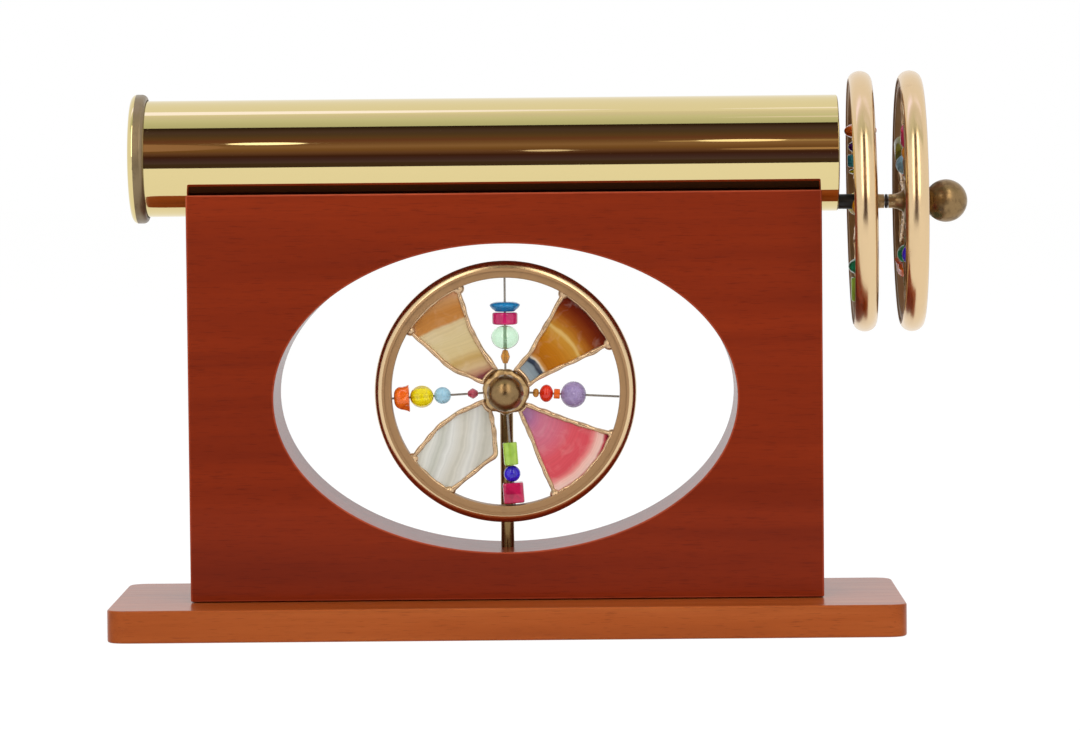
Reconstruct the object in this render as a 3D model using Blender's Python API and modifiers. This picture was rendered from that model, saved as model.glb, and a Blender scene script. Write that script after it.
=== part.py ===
"""Table-top kaleidoscope on a wooden stand, as separate pieces at their real size.

Metres, +Z up. +X runs along the tube from the eyepiece to the wheels, and -Y is
the front of the stand. The origin is the centre of the base board's underside.
"""

import math
from typing import NamedTuple

import bmesh
import bpy
from mathutils import Matrix, Vector

# Fits
TOUCH_GAP = 0.0003          # between pieces that touch
CUT_OVERRUN = 0.001         # how far a cutter runs past what it cuts
WELD_DISTANCE = 0.000001

# Base board
BASE_HEIGHT = 0.0105
BASE_SIDE_MARGIN = 0.02565  # base beyond the upright board, left and right
BASE_FRONT_MARGIN = 0.02325  # base beyond the upright board, front and back
BASE_CORNER_RADIUS = 0.007
BASE_EDGE_ROUND = 0.0006

# Wheels
RIM_OUTER_DIAMETER = 0.0855
RIM_DEPTH = 0.0055          # radial
RIM_WIDTH = 0.0076          # along the axle
RIM_LEG_DEPTH = 0.0023      # flat inner part of the channel section
RIM_LEG_STEP = 0.0005       # how much the flat part stands back on each side
HUB_DISC_DIAMETER = 0.0152
HUB_DISC_THICKNESS = 0.0046
HUB_DISC_EDGE_THICKNESS = 0.0032
HUB_CONE_RISE = 0.0024      # how much wider the cone is at the disc than at its tip
HUB_FLARE_SHARES = (0.30, 0.40)  # where the cone bends: of that rise, of its length from the disc
HUB_TIP_WALL = 0.0005
PANEL_THICKNESS = 0.0024
FOIL_WALL = 0.0005          # foil and solder outside the glass edge
FOIL_LAP = 0.0008           # foil over the face of the glass
FOIL_LIP = 0.0005           # thickness of that lap
FOIL_EDGE_ROUND = 0.0003
WIRE_DIAMETER = 0.0007
BEAD_MOUTH_WALL = 0.0003    # flat ring round the wire at a bead's end

# How far the handmade wheels lie out of square to their axles, about their own X and Y
NEAR_WHEEL_SKEW = (math.radians(-0.95), math.radians(-1.35))
FAR_WHEEL_SKEW = (math.radians(-0.34), math.radians(-0.67))
DISPLAY_WHEEL_SKEW = (0, 0)

# Upright board and its window
WINDOW_WIDTH = 0.1510
WINDOW_CLEARANCE_ABOVE = 0.00575  # from the display wheel to the window
WINDOW_CLEARANCE_BELOW = 0.00935
SILL_HEIGHT = 0.0154        # wood under the window
HEADER_HEIGHT = 0.0165      # wood over the window
JAMB_WIDTH = 0.02775        # wood beside the window
BOARD_DEPTH = 0.0405
BOARD_EDGE_ROUND = 0.0004

# Wood screws that hold the two boards together
SCREW_LENGTH = 0.032
SCREW_SHANK_DIAMETER = 0.004
SCREW_HEAD_DIAMETER = 0.008
SCREW_HEAD_HEIGHT = 0.0026
SCREW_HEAD_RECESS = 0.0004
SCREW_POINT_LENGTH = 0.004
SCREW_INSET = 0.022         # from the upright board's end

# Tube and eyepiece
TUBE_OUTER_DIAMETER = 0.0381
TUBE_WALL = 0.0012
TUBE_EDGE_ROUND = 0.0003
TUBE_SINK = 0.00735         # how deep the tube lies in the board's groove
TUBE_REAR_OVERHANG = 0.01675
TUBE_FRONT_OVERHANG = 0.0060
CAP_WALL = 0.0018
CAP_DISC_THICKNESS = 0.0018
CAP_SKIRT_LENGTH = 0.0034
CAP_SHOULDER_ROUND = (0.0024, 0.0018)  # of the rear edge: radial, and along the tube
CAP_LIP_ROUND = (0.0015, 0.0017)  # of the front edge
EYE_HOLE_DIAMETER = 0.0100
EYE_DISH_WIDTH = 0.0035     # hollow round the eye hole
EYE_DISH_DEPTH = 0.0008
LENS_THICKNESS = 0.0020

# Mirrors and what holds them in the tube
MIRROR_THICKNESS = 0.0020
MIRROR_WIDTH_SHARE = 0.728  # of the tube's bore
COLLAR_LENGTH = 0.008
GLASS_THICKNESS = 0.0020
RETAINER_LENGTH = 0.0020
RETAINER_RING_WIDTH = 0.0045

# Axles, sleeves and knobs
AXLE_DIAMETER = 0.0030
AXLE_SOLDERED_LENGTH = 0.034
SLEEVE_WALL = 0.00065
RIM_TUBE_SPACE = 0.00435     # from the tube's end to the near wheel's rim
RIM_SPACE = 0.0083          # from rim to rim
SPACER_LENGTH = 0.0009
KNOB_STANDOFF = 0.0012      # from the far rim to the knob's flat
KNOB_DIAMETER = 0.0140
KNOB_BORE_DEPTH = 0.0085
KNOB_FLAT_WALL = 0.0011     # flat ring round the knob's hole

# Display post
POST_DIAMETER = 0.0043
POST_SEAT_DEPTH = 0.009
BOSS_DIAMETER = 0.0085
BOSS_LENGTH = 0.0080
DISPLAY_WHEEL_FORWARD = 0.0140
DISPLAY_HUB_REACH = 0.0030
DISPLAY_KNOB_DIAMETER = 0.0120
DISPLAY_KNOB_BORE_DEPTH = 0.0078
AXLE_TAIL = 0.0010          # axle showing behind the boss

# How finely round pieces are divided
TUBE_STEPS = 48
RIM_STEPS = 48
RIM_ARC_STEPS = 6
HUB_STEPS = 16
KNOB_STEPS = 20
KNOB_ARC_STEPS = 8
ROD_STEPS = 12
DISC_STEPS = 36
WINDOW_STEPS = 60
CORNER_STEPS = 5
EDGE_STEPS = 2
CAP_ARC_STEPS = 4
SHOWN_BEAD_STEPS = 12
SIDE_BEAD_STEPS = 8
BEAD_ARC_STEPS = 6
PANEL_RIM_STEPS = 4
PANEL_HUB_STEPS = 3

SMOOTH_ANGLE = math.radians(35)

# Worked out from the sizes above
RIM_OUTER_RADIUS = RIM_OUTER_DIAMETER / 2
RIM_INNER_RADIUS = RIM_OUTER_RADIUS - RIM_DEPTH
HUB_RADIUS = HUB_DISC_DIAMETER / 2
WIRE_SPAN = RIM_INNER_RADIUS - HUB_RADIUS
WIRE_RADIUS = WIRE_DIAMETER / 2
AXLE_RADIUS = AXLE_DIAMETER / 2
AXLE_BORE_RADIUS = AXLE_RADIUS + TOUCH_GAP
SLEEVE_RADIUS = AXLE_BORE_RADIUS + SLEEVE_WALL

WINDOW_HEIGHT = WINDOW_CLEARANCE_BELOW + RIM_OUTER_DIAMETER + WINDOW_CLEARANCE_ABOVE
BOARD_LENGTH = WINDOW_WIDTH + 2 * JAMB_WIDTH
BOARD_HEIGHT = SILL_HEIGHT + WINDOW_HEIGHT + HEADER_HEIGHT
BOARD_BOTTOM = BASE_HEIGHT + TOUCH_GAP
BOARD_TOP = BOARD_BOTTOM + BOARD_HEIGHT
WINDOW_BOTTOM = BOARD_BOTTOM + SILL_HEIGHT
WINDOW_CENTRE = WINDOW_BOTTOM + WINDOW_HEIGHT / 2
BASE_LENGTH = BOARD_LENGTH + 2 * BASE_SIDE_MARGIN
BASE_DEPTH = BOARD_DEPTH + 2 * BASE_FRONT_MARGIN

TUBE_RADIUS = TUBE_OUTER_DIAMETER / 2
TUBE_BORE_RADIUS = TUBE_RADIUS - TUBE_WALL
TUBE_AXIS = BOARD_TOP - TUBE_SINK + TUBE_RADIUS
TUBE_REAR = -BOARD_LENGTH / 2 - TUBE_REAR_OVERHANG
TUBE_FRONT = BOARD_LENGTH / 2 + TUBE_FRONT_OVERHANG
INSERT_RADIUS = TUBE_BORE_RADIUS - TOUCH_GAP
CAP_REAR = TUBE_REAR - TOUCH_GAP - CAP_DISC_THICKNESS
LENS_FRONT = TUBE_REAR + LENS_THICKNESS
RETAINER_REAR = TUBE_FRONT - RETAINER_LENGTH
GLASS_FRONT = RETAINER_REAR - TOUCH_GAP
GLASS_REAR = GLASS_FRONT - GLASS_THICKNESS
MIRROR_REAR = LENS_FRONT + TOUCH_GAP
MIRROR_FRONT = GLASS_REAR - TOUCH_GAP

AXLE_DROP = INSERT_RADIUS - AXLE_RADIUS     # the axle lies on the tube's bore
NEAR_WHEEL = TUBE_FRONT + RIM_TUBE_SPACE + RIM_WIDTH / 2
FAR_WHEEL = NEAR_WHEEL + RIM_WIDTH + RIM_SPACE
SPACER_CENTRE = (NEAR_WHEEL + FAR_WHEEL) / 2
HUB_INNER_REACH = (FAR_WHEEL - NEAR_WHEEL - SPACER_LENGTH) / 2 - TOUCH_GAP
HUB_KNOB_REACH = RIM_WIDTH / 2 + KNOB_STANDOFF
KNOB_FLAT = FAR_WHEEL + HUB_KNOB_REACH + TOUCH_GAP

DISPLAY_AXLE_HEIGHT = WINDOW_BOTTOM + WINDOW_CLEARANCE_BELOW + RIM_OUTER_RADIUS
DISPLAY_KNOB_FLAT = DISPLAY_WHEEL_FORWARD + DISPLAY_HUB_REACH + TOUCH_GAP


class PanelShape(NamedTuple):
    """A glass panel's edge, in degrees round the wheel and shares of the wire's span."""

    outer_degrees: tuple        # where the edge runs along the rim
    far_side_shares: tuple      # (degrees, share) from the rim to the hub
    inner_degrees: tuple        # where the edge runs along the hub
    near_side_shares: tuple     # (degrees, share) from the hub to the rim


PANEL_SHAPES = (
    PanelShape((23, 60), ((60, 0.26),), (72, 8), ((18.6, 0.14),)),
    PanelShape((113, 148), ((159, 0.39),), (163, 106), ((116, 0.29), (116.7, 0.56))),
    PanelShape((214, 241), ((263, 0.46), (255.5, 0.17)), (234, 197), ((200.4, 0.32), (205.6, 0.60))),
    PanelShape((294, 339), ((337, 0.59),), (332, 301), ((296.5, 0.30), (294.4, 0.58))),
)


class Bead(NamedTuple):
    """A bead on a spoke wire: its form, and where it lies in shares of the wire's span."""

    form: str
    inner_share: float
    outer_share: float
    width_share: float


class Spoke(NamedTuple):
    """One spoke wire's direction in degrees, and its beads from the rim to the hub."""

    degrees: float
    beads: tuple


DISPLAY_SPOKES = (
    Spoke(90, (Bead("round", 0.617, 0.734, 0.327), Bead("drum", 0.476, 0.617, 0.28),
               Bead("round", 0.207, 0.476, 0.307), Bead("bicone", 0.05, 0.207, 0.10))),
    Spoke(183, (Bead("bell", 0.80, 0.98, 0.303), Bead("bicone", 0.535, 0.80, 0.26),
                Bead("round", 0.344, 0.535, 0.187), Bead("round", 0.045, 0.135, 0.11))),
    Spoke(274, (Bead("drum", 0.745, 0.98, 0.26), Bead("round", 0.56, 0.745, 0.183),
                Bead("drum", 0.30, 0.56, 0.157))),
    Spoke(357, (Bead("round", 0.347, 0.634, 0.29), Bead("drum", 0.27, 0.347, 0.11),
                Bead("round", 0.114, 0.27, 0.195), Bead("round", 0.04, 0.114, 0.10))),
)
NEAR_SPOKES = (
    Spoke(90, (Bead("round", 0.40, 0.62, 0.27), Bead("round", 0.23, 0.40, 0.22),
               Bead("drum", 0.11, 0.23, 0.16), Bead("round", 0.03, 0.11, 0.10))),
    Spoke(183, (Bead("bicone", 0.62, 0.88, 0.24), Bead("round", 0.38, 0.62, 0.27))),
    Spoke(274, (Bead("drum", 0.60, 0.80, 0.25), Bead("round", 0.36, 0.57, 0.25),
                Bead("bicone", 0.14, 0.36, 0.14))),
    Spoke(357, (Bead("round", 0.48, 0.74, 0.28), Bead("bell", 0.28, 0.48, 0.24))),
)
FAR_SPOKES = (
    Spoke(90, (Bead("drum", 0.56, 0.76, 0.27), Bead("round", 0.34, 0.56, 0.24))),
    Spoke(183, (Bead("round", 0.46, 0.70, 0.27), Bead("bicone", 0.22, 0.46, 0.17),
                Bead("round", 0.07, 0.22, 0.15))),
    Spoke(274, (Bead("bell", 0.70, 0.92, 0.28), Bead("round", 0.48, 0.70, 0.24))),
    Spoke(357, (Bead("bicone", 0.52, 0.80, 0.26), Bead("drum", 0.34, 0.52, 0.20),
                Bead("round", 0.16, 0.34, 0.19))),
)

BEAD_EDGE_SHARE = 0.12          # chamfer of a drum bead, of its width
BELL_PROFILE_SHARES = ((0.28, 0.80), (0.36, 0.42), (0.50, 0.10), (0.42, 0.0))  # of width, of length

# Finishes: colour, metallic, roughness, transmission
MAHOGANY = ("#7A2C12", 0.0, 0.30, 0.0)
DARK_MAHOGANY = ("#8A4420", 0.0, 0.30, 0.0)
BRASS = ("#D0B068", 1.0, 0.22, 0.0)
AGED_BRASS = ("#8C7850", 1.0, 0.35, 0.0)
SOLDER = ("#C8A582", 1.0, 0.35, 0.0)
STEEL = ("#B8B8B4", 1.0, 0.30, 0.0)
BLACK_PLASTIC = ("#1E1A18", 0.0, 0.45, 0.0)
MIRROR_GLASS = ("#E6EAEC", 1.0, 0.03, 0.0)
CLEAR_GLASS = ("#F4F8F8", 0.0, 0.03, 1.0)
CORK = ("#B08858", 0.0, 0.85, 0.0)
PANEL_FINISHES = (
    ("#B9741C", 0.0, 0.15, 0.3),
    ("#D7C391", 0.0, 0.15, 0.3),
    ("#D2D2C8", 0.0, 0.15, 0.3),
    ("#CD6E78", 0.0, 0.15, 0.3),
)
BEAD_FINISHES = (
    ("#0A7DB9", 0.0, 0.10, 0.4),
    ("#F0A018", 0.0, 0.10, 0.4),
    ("#BE1E4B", 0.0, 0.10, 0.4),
    ("#A58CB9", 0.0, 0.10, 0.4),
)


def clear_scene() -> None:
    """Removes every object of the scene that was open."""
    for old in list(bpy.data.objects):
        bpy.data.objects.remove(old, do_unlink=True)


def new_collection(name: str) -> bpy.types.Collection:
    """A new collection, linked to the scene."""
    collection = bpy.data.collections.new(name)
    bpy.context.scene.collection.children.link(collection)
    return collection


clear_scene()
PARTS = new_collection("kaleidoscope")
CUTTERS = new_collection("cutters")


# Helpers

def linear_colour(code: str) -> tuple:
    """A hex colour as linear red, green, blue and alpha."""
    channels = []
    for start in (1, 3, 5):
        value = int(code[start:start + 2], 16) / 255
        channels.append(value / 12.92 if value <= 0.04045 else ((value + 0.055) / 1.055) ** 2.4)
    return (*channels, 1.0)


def paint(piece: bpy.types.Object, finish: tuple) -> None:
    """Gives a piece a material of its own."""
    colour, metallic, roughness, transmission = finish
    material = bpy.data.materials.new(piece.name)
    material.use_nodes = True
    shader = material.node_tree.nodes["Principled BSDF"]
    shader.inputs["Base Color"].default_value = linear_colour(colour)
    shader.inputs["Metallic"].default_value = metallic
    shader.inputs["Roughness"].default_value = roughness
    shader.inputs["Transmission Weight"].default_value = transmission
    piece.data.materials.clear()
    piece.data.materials.append(material)


def frame_at(name: str, location: tuple, rotation: tuple = (0, 0, 0)) -> bpy.types.Object:
    """An empty that carries pieces."""
    empty = bpy.data.objects.new(name, None)
    empty.location = location
    empty.rotation_euler = rotation
    PARTS.objects.link(empty)
    return empty


def place(mesh: bpy.types.Mesh, name: str, parent=None, location=(0, 0, 0),
          rotation=(0, 0, 0), finish=None) -> bpy.types.Object:
    """A piece when it has a finish, and otherwise a cutter."""
    piece = bpy.data.objects.new(name, mesh)
    piece.parent = parent
    piece.location = location
    piece.rotation_euler = rotation
    if finish:
        PARTS.objects.link(piece)
        paint(piece, finish)
    else:
        CUTTERS.objects.link(piece)
        piece.hide_render = True
        piece.display_type = "WIRE"
    return piece


def apply_boolean(piece: bpy.types.Object, other: bpy.types.Object, operation="DIFFERENCE") -> None:
    """Cuts a piece by another shape, or joins that shape to it."""
    modifier = piece.modifiers.new(other.name, "BOOLEAN")
    modifier.object = other
    modifier.operation = operation
    modifier.solver = "EXACT"


def shade(mesh: bpy.types.Mesh) -> bpy.types.Mesh:
    """Smooth faces, with sharp edges where the surface breaks."""
    mesh.shade_smooth()
    mesh.set_sharp_from_angle(angle=SMOOTH_ANGLE)
    return mesh


def settled_mesh(source: bpy.types.Object) -> bpy.types.Mesh:
    """The mesh that a curve or a modifier makes, welded, with the source removed."""
    bpy.context.view_layer.update()
    evaluated = source.evaluated_get(bpy.context.evaluated_depsgraph_get())
    mesh = bpy.data.meshes.new_from_object(evaluated)
    bpy.data.objects.remove(source, do_unlink=True)
    shape = bmesh.new()
    shape.from_mesh(mesh)
    bmesh.ops.remove_doubles(shape, verts=shape.verts, dist=WELD_DISTANCE)
    bmesh.ops.recalc_face_normals(shape, faces=shape.faces)
    shape.to_mesh(mesh)
    shape.free()
    return shade(mesh)


def arc(centre: tuple, radii: tuple, start: float, end: float, steps: int) -> list:
    """Points on an ellipse's arc, its angles in degrees."""
    points = []
    for step in range(steps + 1):
        angle = math.radians(start + (end - start) * step / steps)
        points.append((centre[0] + radii[0] * math.cos(angle), centre[1] + radii[1] * math.sin(angle)))
    return points


def turned(profile: list, steps: int) -> bpy.types.Mesh:
    """Turns a profile of (radius, height) points about Z. It runs down its outer side.

    A profile that starts off the axis is closed into a ring.
    """
    points = [(radius, 0, height) for radius, height in profile]
    edges = [(index, index + 1) for index in range(len(points) - 1)]
    if profile[0][0] > 0:
        edges.append((len(points) - 1, 0))
    outline = bpy.data.meshes.new("profile")
    outline.from_pydata(points, edges, [])
    source = bpy.data.objects.new("profile", outline)
    PARTS.objects.link(source)
    screw = source.modifiers.new("turn", "SCREW")
    screw.axis = "Z"
    screw.angle = 2 * math.pi
    screw.steps = steps
    screw.render_steps = steps
    screw.use_merge_vertices = True
    screw.merge_threshold = WELD_DISTANCE
    return settled_mesh(source)


def rod(radius: float, bottom: float, top: float, steps: int) -> bpy.types.Mesh:
    """A plain round bar along Z between two heights."""
    shape = bmesh.new()
    bmesh.ops.create_cone(shape, cap_ends=True, segments=steps, radius1=radius, radius2=radius,
                          depth=top - bottom)
    bmesh.ops.translate(shape, verts=shape.verts, vec=(0, 0, (top + bottom) / 2))
    mesh = bpy.data.meshes.new("rod")
    shape.to_mesh(mesh)
    shape.free()
    return shade(mesh)


def ring(outer_radius: float, inner_radius: float, bottom: float, top: float, steps: int):
    """A plain round sleeve along Z between two heights."""
    profile = [(outer_radius, top), (outer_radius, bottom), (inner_radius, bottom), (inner_radius, top)]
    return turned(profile, steps)


def block(size: tuple, centre: tuple = (0, 0, 0)) -> bpy.types.Mesh:
    """A plain box about its centre."""
    shape = bmesh.new()
    bmesh.ops.create_cube(shape, size=1)
    bmesh.ops.scale(shape, verts=shape.verts, vec=size)
    bmesh.ops.translate(shape, verts=shape.verts, vec=centre)
    mesh = bpy.data.meshes.new("block")
    shape.to_mesh(mesh)
    shape.free()
    return mesh


def flat_piece(outlines: list, thickness: float, edge_round: float = 0) -> bpy.types.Mesh:
    """Outlines in the XY plane, with their holes, made thick to both sides of the plane."""
    curve = bpy.data.curves.new("outline", "CURVE")
    curve.dimensions = "2D"
    curve.fill_mode = "BOTH"
    curve.extrude = thickness / 2 - edge_round
    curve.bevel_depth = edge_round
    curve.bevel_resolution = 0
    curve.offset = -edge_round
    for outline in outlines:
        spline = curve.splines.new("POLY")
        spline.points.add(len(outline) - 1)
        spline.use_cyclic_u = True
        for point, (along, across) in zip(spline.points, outline):
            point.co = (along, across, 0, 1)
    source = bpy.data.objects.new("outline", curve)
    PARTS.objects.link(source)
    return settled_mesh(source)


def crossing(first: tuple, second: tuple) -> Vector:
    """Where two lines meet, each given as a point and a direction."""
    (first_point, first_way), (second_point, second_way) = first, second
    along = (second_point - first_point).cross(second_way) / first_way.cross(second_way)
    return first_point + first_way * along


def inset(outline: list, distance: float) -> list:
    """An anticlockwise outline moved inwards. A side that the move uses up is left out."""
    points = [Vector(point) for point in outline]
    sides = []
    for here, after in zip(points, points[1:] + points[:1]):
        way = (after - here).normalized()
        sides.append((here + distance * Vector((-way.y, way.x)), way))
    while True:
        corners = [crossing(before, side) for before, side in zip(sides[-1:] + sides[:-1], sides)]
        lengths = [(after - here).dot(side[1])
                   for here, after, side in zip(corners, corners[1:] + corners[:1], sides)]
        shortest = lengths.index(min(lengths))
        if lengths[shortest] > WELD_DISTANCE:
            return corners
        sides.pop(shortest)


# Stand

def rounded_base() -> bpy.types.Mesh:
    """The base board, with its corners rounded and its edges eased."""
    shape = bmesh.new()
    bmesh.ops.create_cube(shape, size=1)
    bmesh.ops.scale(shape, verts=shape.verts, vec=(BASE_LENGTH, BASE_DEPTH, BASE_HEIGHT))
    bmesh.ops.translate(shape, verts=shape.verts, vec=(0, 0, BASE_HEIGHT / 2))
    upright = [edge for edge in shape.edges if edge.verts[0].co.xy == edge.verts[1].co.xy]
    bmesh.ops.bevel(shape, geom=upright, offset=BASE_CORNER_RADIUS, segments=CORNER_STEPS,
                    profile=0.5, affect="EDGES")
    level = [edge for edge in shape.edges if edge.verts[0].co.z == edge.verts[1].co.z]
    bmesh.ops.bevel(shape, geom=level, offset=BASE_EDGE_ROUND, segments=EDGE_STEPS,
                    profile=0.5, affect="EDGES")
    mesh = bpy.data.meshes.new("base_board")
    shape.to_mesh(mesh)
    shape.free()
    return shade(mesh)


def eased_board() -> bpy.types.Mesh:
    """The upright board before it is cut, with its edges just broken."""
    mesh = block((BOARD_LENGTH, BOARD_DEPTH, BOARD_HEIGHT), (0, 0, BOARD_BOTTOM + BOARD_HEIGHT / 2))
    shape = bmesh.new()
    shape.from_mesh(mesh)
    bmesh.ops.bevel(shape, geom=shape.edges, offset=BOARD_EDGE_ROUND, segments=1, affect="EDGES")
    shape.to_mesh(mesh)
    shape.free()
    return mesh


def window_cutter() -> bpy.types.Mesh:
    """The elliptical window's shape, along Y through the board."""
    mesh = rod(WINDOW_HEIGHT / 2, -BOARD_DEPTH / 2 - CUT_OVERRUN, BOARD_DEPTH / 2 + CUT_OVERRUN, WINDOW_STEPS)
    mesh.transform(Matrix.Diagonal((WINDOW_WIDTH / WINDOW_HEIGHT, 1, 1, 1)))
    return mesh


def screw_profile(gap: float) -> list:
    """A countersunk wood screw pointing up from the base, or its hole when there is a gap."""
    head_bottom = SCREW_HEAD_RECESS
    point = head_bottom + SCREW_LENGTH
    return [
        (0, point + gap),
        (SCREW_SHANK_DIAMETER / 2 + gap, point - SCREW_POINT_LENGTH + gap),
        (SCREW_SHANK_DIAMETER / 2 + gap, head_bottom + SCREW_HEAD_HEIGHT + gap),
        (SCREW_HEAD_DIAMETER / 2 + gap, head_bottom + gap),
        (SCREW_HEAD_DIAMETER / 2 + gap, -CUT_OVERRUN if gap else head_bottom),
        (0, -CUT_OVERRUN if gap else head_bottom),
    ]


def build_stand() -> None:
    """Base board, upright board and the screws between them."""
    base = place(rounded_base(), "base_board", finish=DARK_MAHOGANY)
    board = place(eased_board(), "upright_board", finish=MAHOGANY)
    window = place(window_cutter(), "window_cutter", location=(0, 0, WINDOW_CENTRE),
                   rotation=(math.radians(90), 0, 0))
    groove = place(rod(TUBE_RADIUS + TOUCH_GAP, -BOARD_LENGTH / 2 - CUT_OVERRUN,
                       BOARD_LENGTH / 2 + CUT_OVERRUN, TUBE_STEPS),
                   "groove_cutter", location=(0, 0, TUBE_AXIS), rotation=(0, math.radians(90), 0))
    post_seat = place(rod(POST_DIAMETER / 2 + TOUCH_GAP, WINDOW_BOTTOM - POST_SEAT_DEPTH,
                          WINDOW_CENTRE, ROD_STEPS), "post_seat_cutter")
    for cutter in (window, groove, post_seat):
        apply_boolean(board, cutter)
    for side, name in ((-1, "left"), (1, "right")):
        spot = (side * (BOARD_LENGTH / 2 - SCREW_INSET), 0, 0)
        place(turned(screw_profile(0), ROD_STEPS), f"base_screw_{name}", location=spot, finish=STEEL)
        hole = place(turned(screw_profile(TOUCH_GAP), ROD_STEPS), f"screw_hole_{name}_cutter", location=spot)
        apply_boolean(base, hole)
        apply_boolean(board, hole)


def knob_mesh(diameter: float, bore_depth: float) -> bpy.types.Mesh:
    """A ball knob with its drilled flat at height 0 and its dome above."""
    radius = diameter / 2
    flat_radius = AXLE_BORE_RADIUS + KNOB_FLAT_WALL
    centre = math.sqrt(radius ** 2 - flat_radius ** 2)
    end = -math.degrees(math.asin(centre / radius))
    dome = arc((0, centre), (radius, radius), 90, end, KNOB_ARC_STEPS)
    dome[0] = (0, centre + radius)
    dome[-1] = (flat_radius, 0)
    bore = [(AXLE_BORE_RADIUS, 0), (AXLE_BORE_RADIUS, bore_depth), (0, bore_depth)]
    return turned(dome + bore, KNOB_STEPS)


def build_display_post() -> None:
    """The post in the window, and the axle, sleeve and knob that carry the display wheel."""
    mount = frame_at("display_axle_frame", (0, 0, DISPLAY_AXLE_HEIGHT), (math.radians(90), 0, 0))
    post = place(rod(POST_DIAMETER / 2, WINDOW_BOTTOM - POST_SEAT_DEPTH + TOUCH_GAP,
                     DISPLAY_AXLE_HEIGHT, ROD_STEPS), "display_post", finish=AGED_BRASS)
    boss = place(rod(BOSS_DIAMETER / 2, -BOSS_LENGTH / 2, BOSS_LENGTH / 2, KNOB_STEPS), "boss_shape",
                 parent=mount)
    bore = place(rod(AXLE_BORE_RADIUS, -BOSS_LENGTH / 2 - CUT_OVERRUN, BOSS_LENGTH / 2 + CUT_OVERRUN,
                     ROD_STEPS), "boss_bore_cutter", parent=mount)
    apply_boolean(post, boss, "UNION")
    apply_boolean(post, bore)
    place(rod(AXLE_RADIUS, -BOSS_LENGTH / 2 - AXLE_TAIL,
              DISPLAY_KNOB_FLAT + DISPLAY_KNOB_BORE_DEPTH - TOUCH_GAP, ROD_STEPS),
          "display_axle", parent=mount, finish=STEEL)
    place(ring(SLEEVE_RADIUS, AXLE_BORE_RADIUS, BOSS_LENGTH / 2 + TOUCH_GAP,
               DISPLAY_WHEEL_FORWARD - HUB_DISC_THICKNESS / 2 - TOUCH_GAP, ROD_STEPS),
          "display_sleeve", parent=mount, finish=BLACK_PLASTIC)
    place(knob_mesh(DISPLAY_KNOB_DIAMETER, DISPLAY_KNOB_BORE_DEPTH), "display_knob", parent=mount,
          location=(0, 0, DISPLAY_KNOB_FLAT), finish=AGED_BRASS)


# Scope

def cap_profile() -> list:
    """The eyepiece cap: a round-edged cup over the tube's end, dished round its eye hole."""
    inner = TUBE_RADIUS + TOUCH_GAP
    outer = inner + CAP_WALL
    top = CAP_DISC_THICKNESS + CAP_SKIRT_LENGTH
    eye = EYE_HOLE_DIAMETER / 2
    lip = arc((outer - CAP_LIP_ROUND[0], top - CAP_LIP_ROUND[1]), CAP_LIP_ROUND, 90, 0, CAP_ARC_STEPS)
    shoulder = arc((outer - CAP_SHOULDER_ROUND[0], CAP_SHOULDER_ROUND[1]), CAP_SHOULDER_ROUND, 0, -90,
                   CAP_ARC_STEPS)
    return [
        *lip, *shoulder,
        (eye + EYE_DISH_WIDTH, 0), (eye, EYE_DISH_DEPTH), (eye, CAP_DISC_THICKNESS),
        (inner, CAP_DISC_THICKNESS), (inner, top),
    ]


def tube_profile() -> list:
    """The tube's wall, its outer edges eased, from the rear end to the front."""
    ease = TUBE_EDGE_ROUND
    return [
        (TUBE_BORE_RADIUS, TUBE_FRONT), (TUBE_RADIUS - ease, TUBE_FRONT), (TUBE_RADIUS, TUBE_FRONT - ease),
        (TUBE_RADIUS, TUBE_REAR + ease), (TUBE_RADIUS - ease, TUBE_REAR), (TUBE_BORE_RADIUS, TUBE_REAR),
    ]


def collar_opening(gap: float) -> list:
    """The six-sided outline round the three mirrors."""
    half_width = MIRROR_WIDTH_SHARE * TUBE_BORE_RADIUS + gap
    reach = mirror_inradius() + MIRROR_THICKNESS + gap
    points = []
    for turn in (0, 120, 240):
        angle = math.radians(turn)
        for across in (-half_width, half_width):
            points.append((across * math.cos(angle) + reach * math.sin(angle),
                           across * math.sin(angle) - reach * math.cos(angle)))
    return points


def mirror_inradius() -> float:
    """From the tube's axis to each mirror's face, with a gap where two mirrors meet."""
    return (MIRROR_WIDTH_SHARE * TUBE_BORE_RADIUS + TOUCH_GAP) / math.sqrt(3)


def build_mirrors(scope: bpy.types.Object) -> None:
    """Three mirror strips in a triangle, flat side down, in a collar at each end."""
    size = (MIRROR_FRONT - MIRROR_REAR, 2 * MIRROR_WIDTH_SHARE * TUBE_BORE_RADIUS, MIRROR_THICKNESS)
    centre = ((MIRROR_FRONT + MIRROR_REAR) / 2, 0, -mirror_inradius() - MIRROR_THICKNESS / 2)
    for name, turn in (("mirror_bottom", 0), ("mirror_back", 120), ("mirror_front", 240)):
        place(block(size, centre), name, parent=scope, rotation=(math.radians(turn), 0, 0),
              finish=MIRROR_GLASS)
    opening = place(flat_piece([collar_opening(TOUCH_GAP)], 2 * (MIRROR_FRONT - MIRROR_REAR)),
                    "collar_opening_cutter", parent=scope,
                    rotation=(math.radians(90), 0, math.radians(90)))
    axle = bpy.data.objects["axle_notch_cutter"]
    for name, start in (("mirror_collar_rear", MIRROR_REAR),
                        ("mirror_collar_front", MIRROR_FRONT - COLLAR_LENGTH)):
        collar = place(rod(INSERT_RADIUS, start, start + COLLAR_LENGTH, DISC_STEPS), name, parent=scope,
                       rotation=(0, math.radians(90), 0), finish=CORK)
        apply_boolean(collar, opening)
        apply_boolean(collar, axle)


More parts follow.
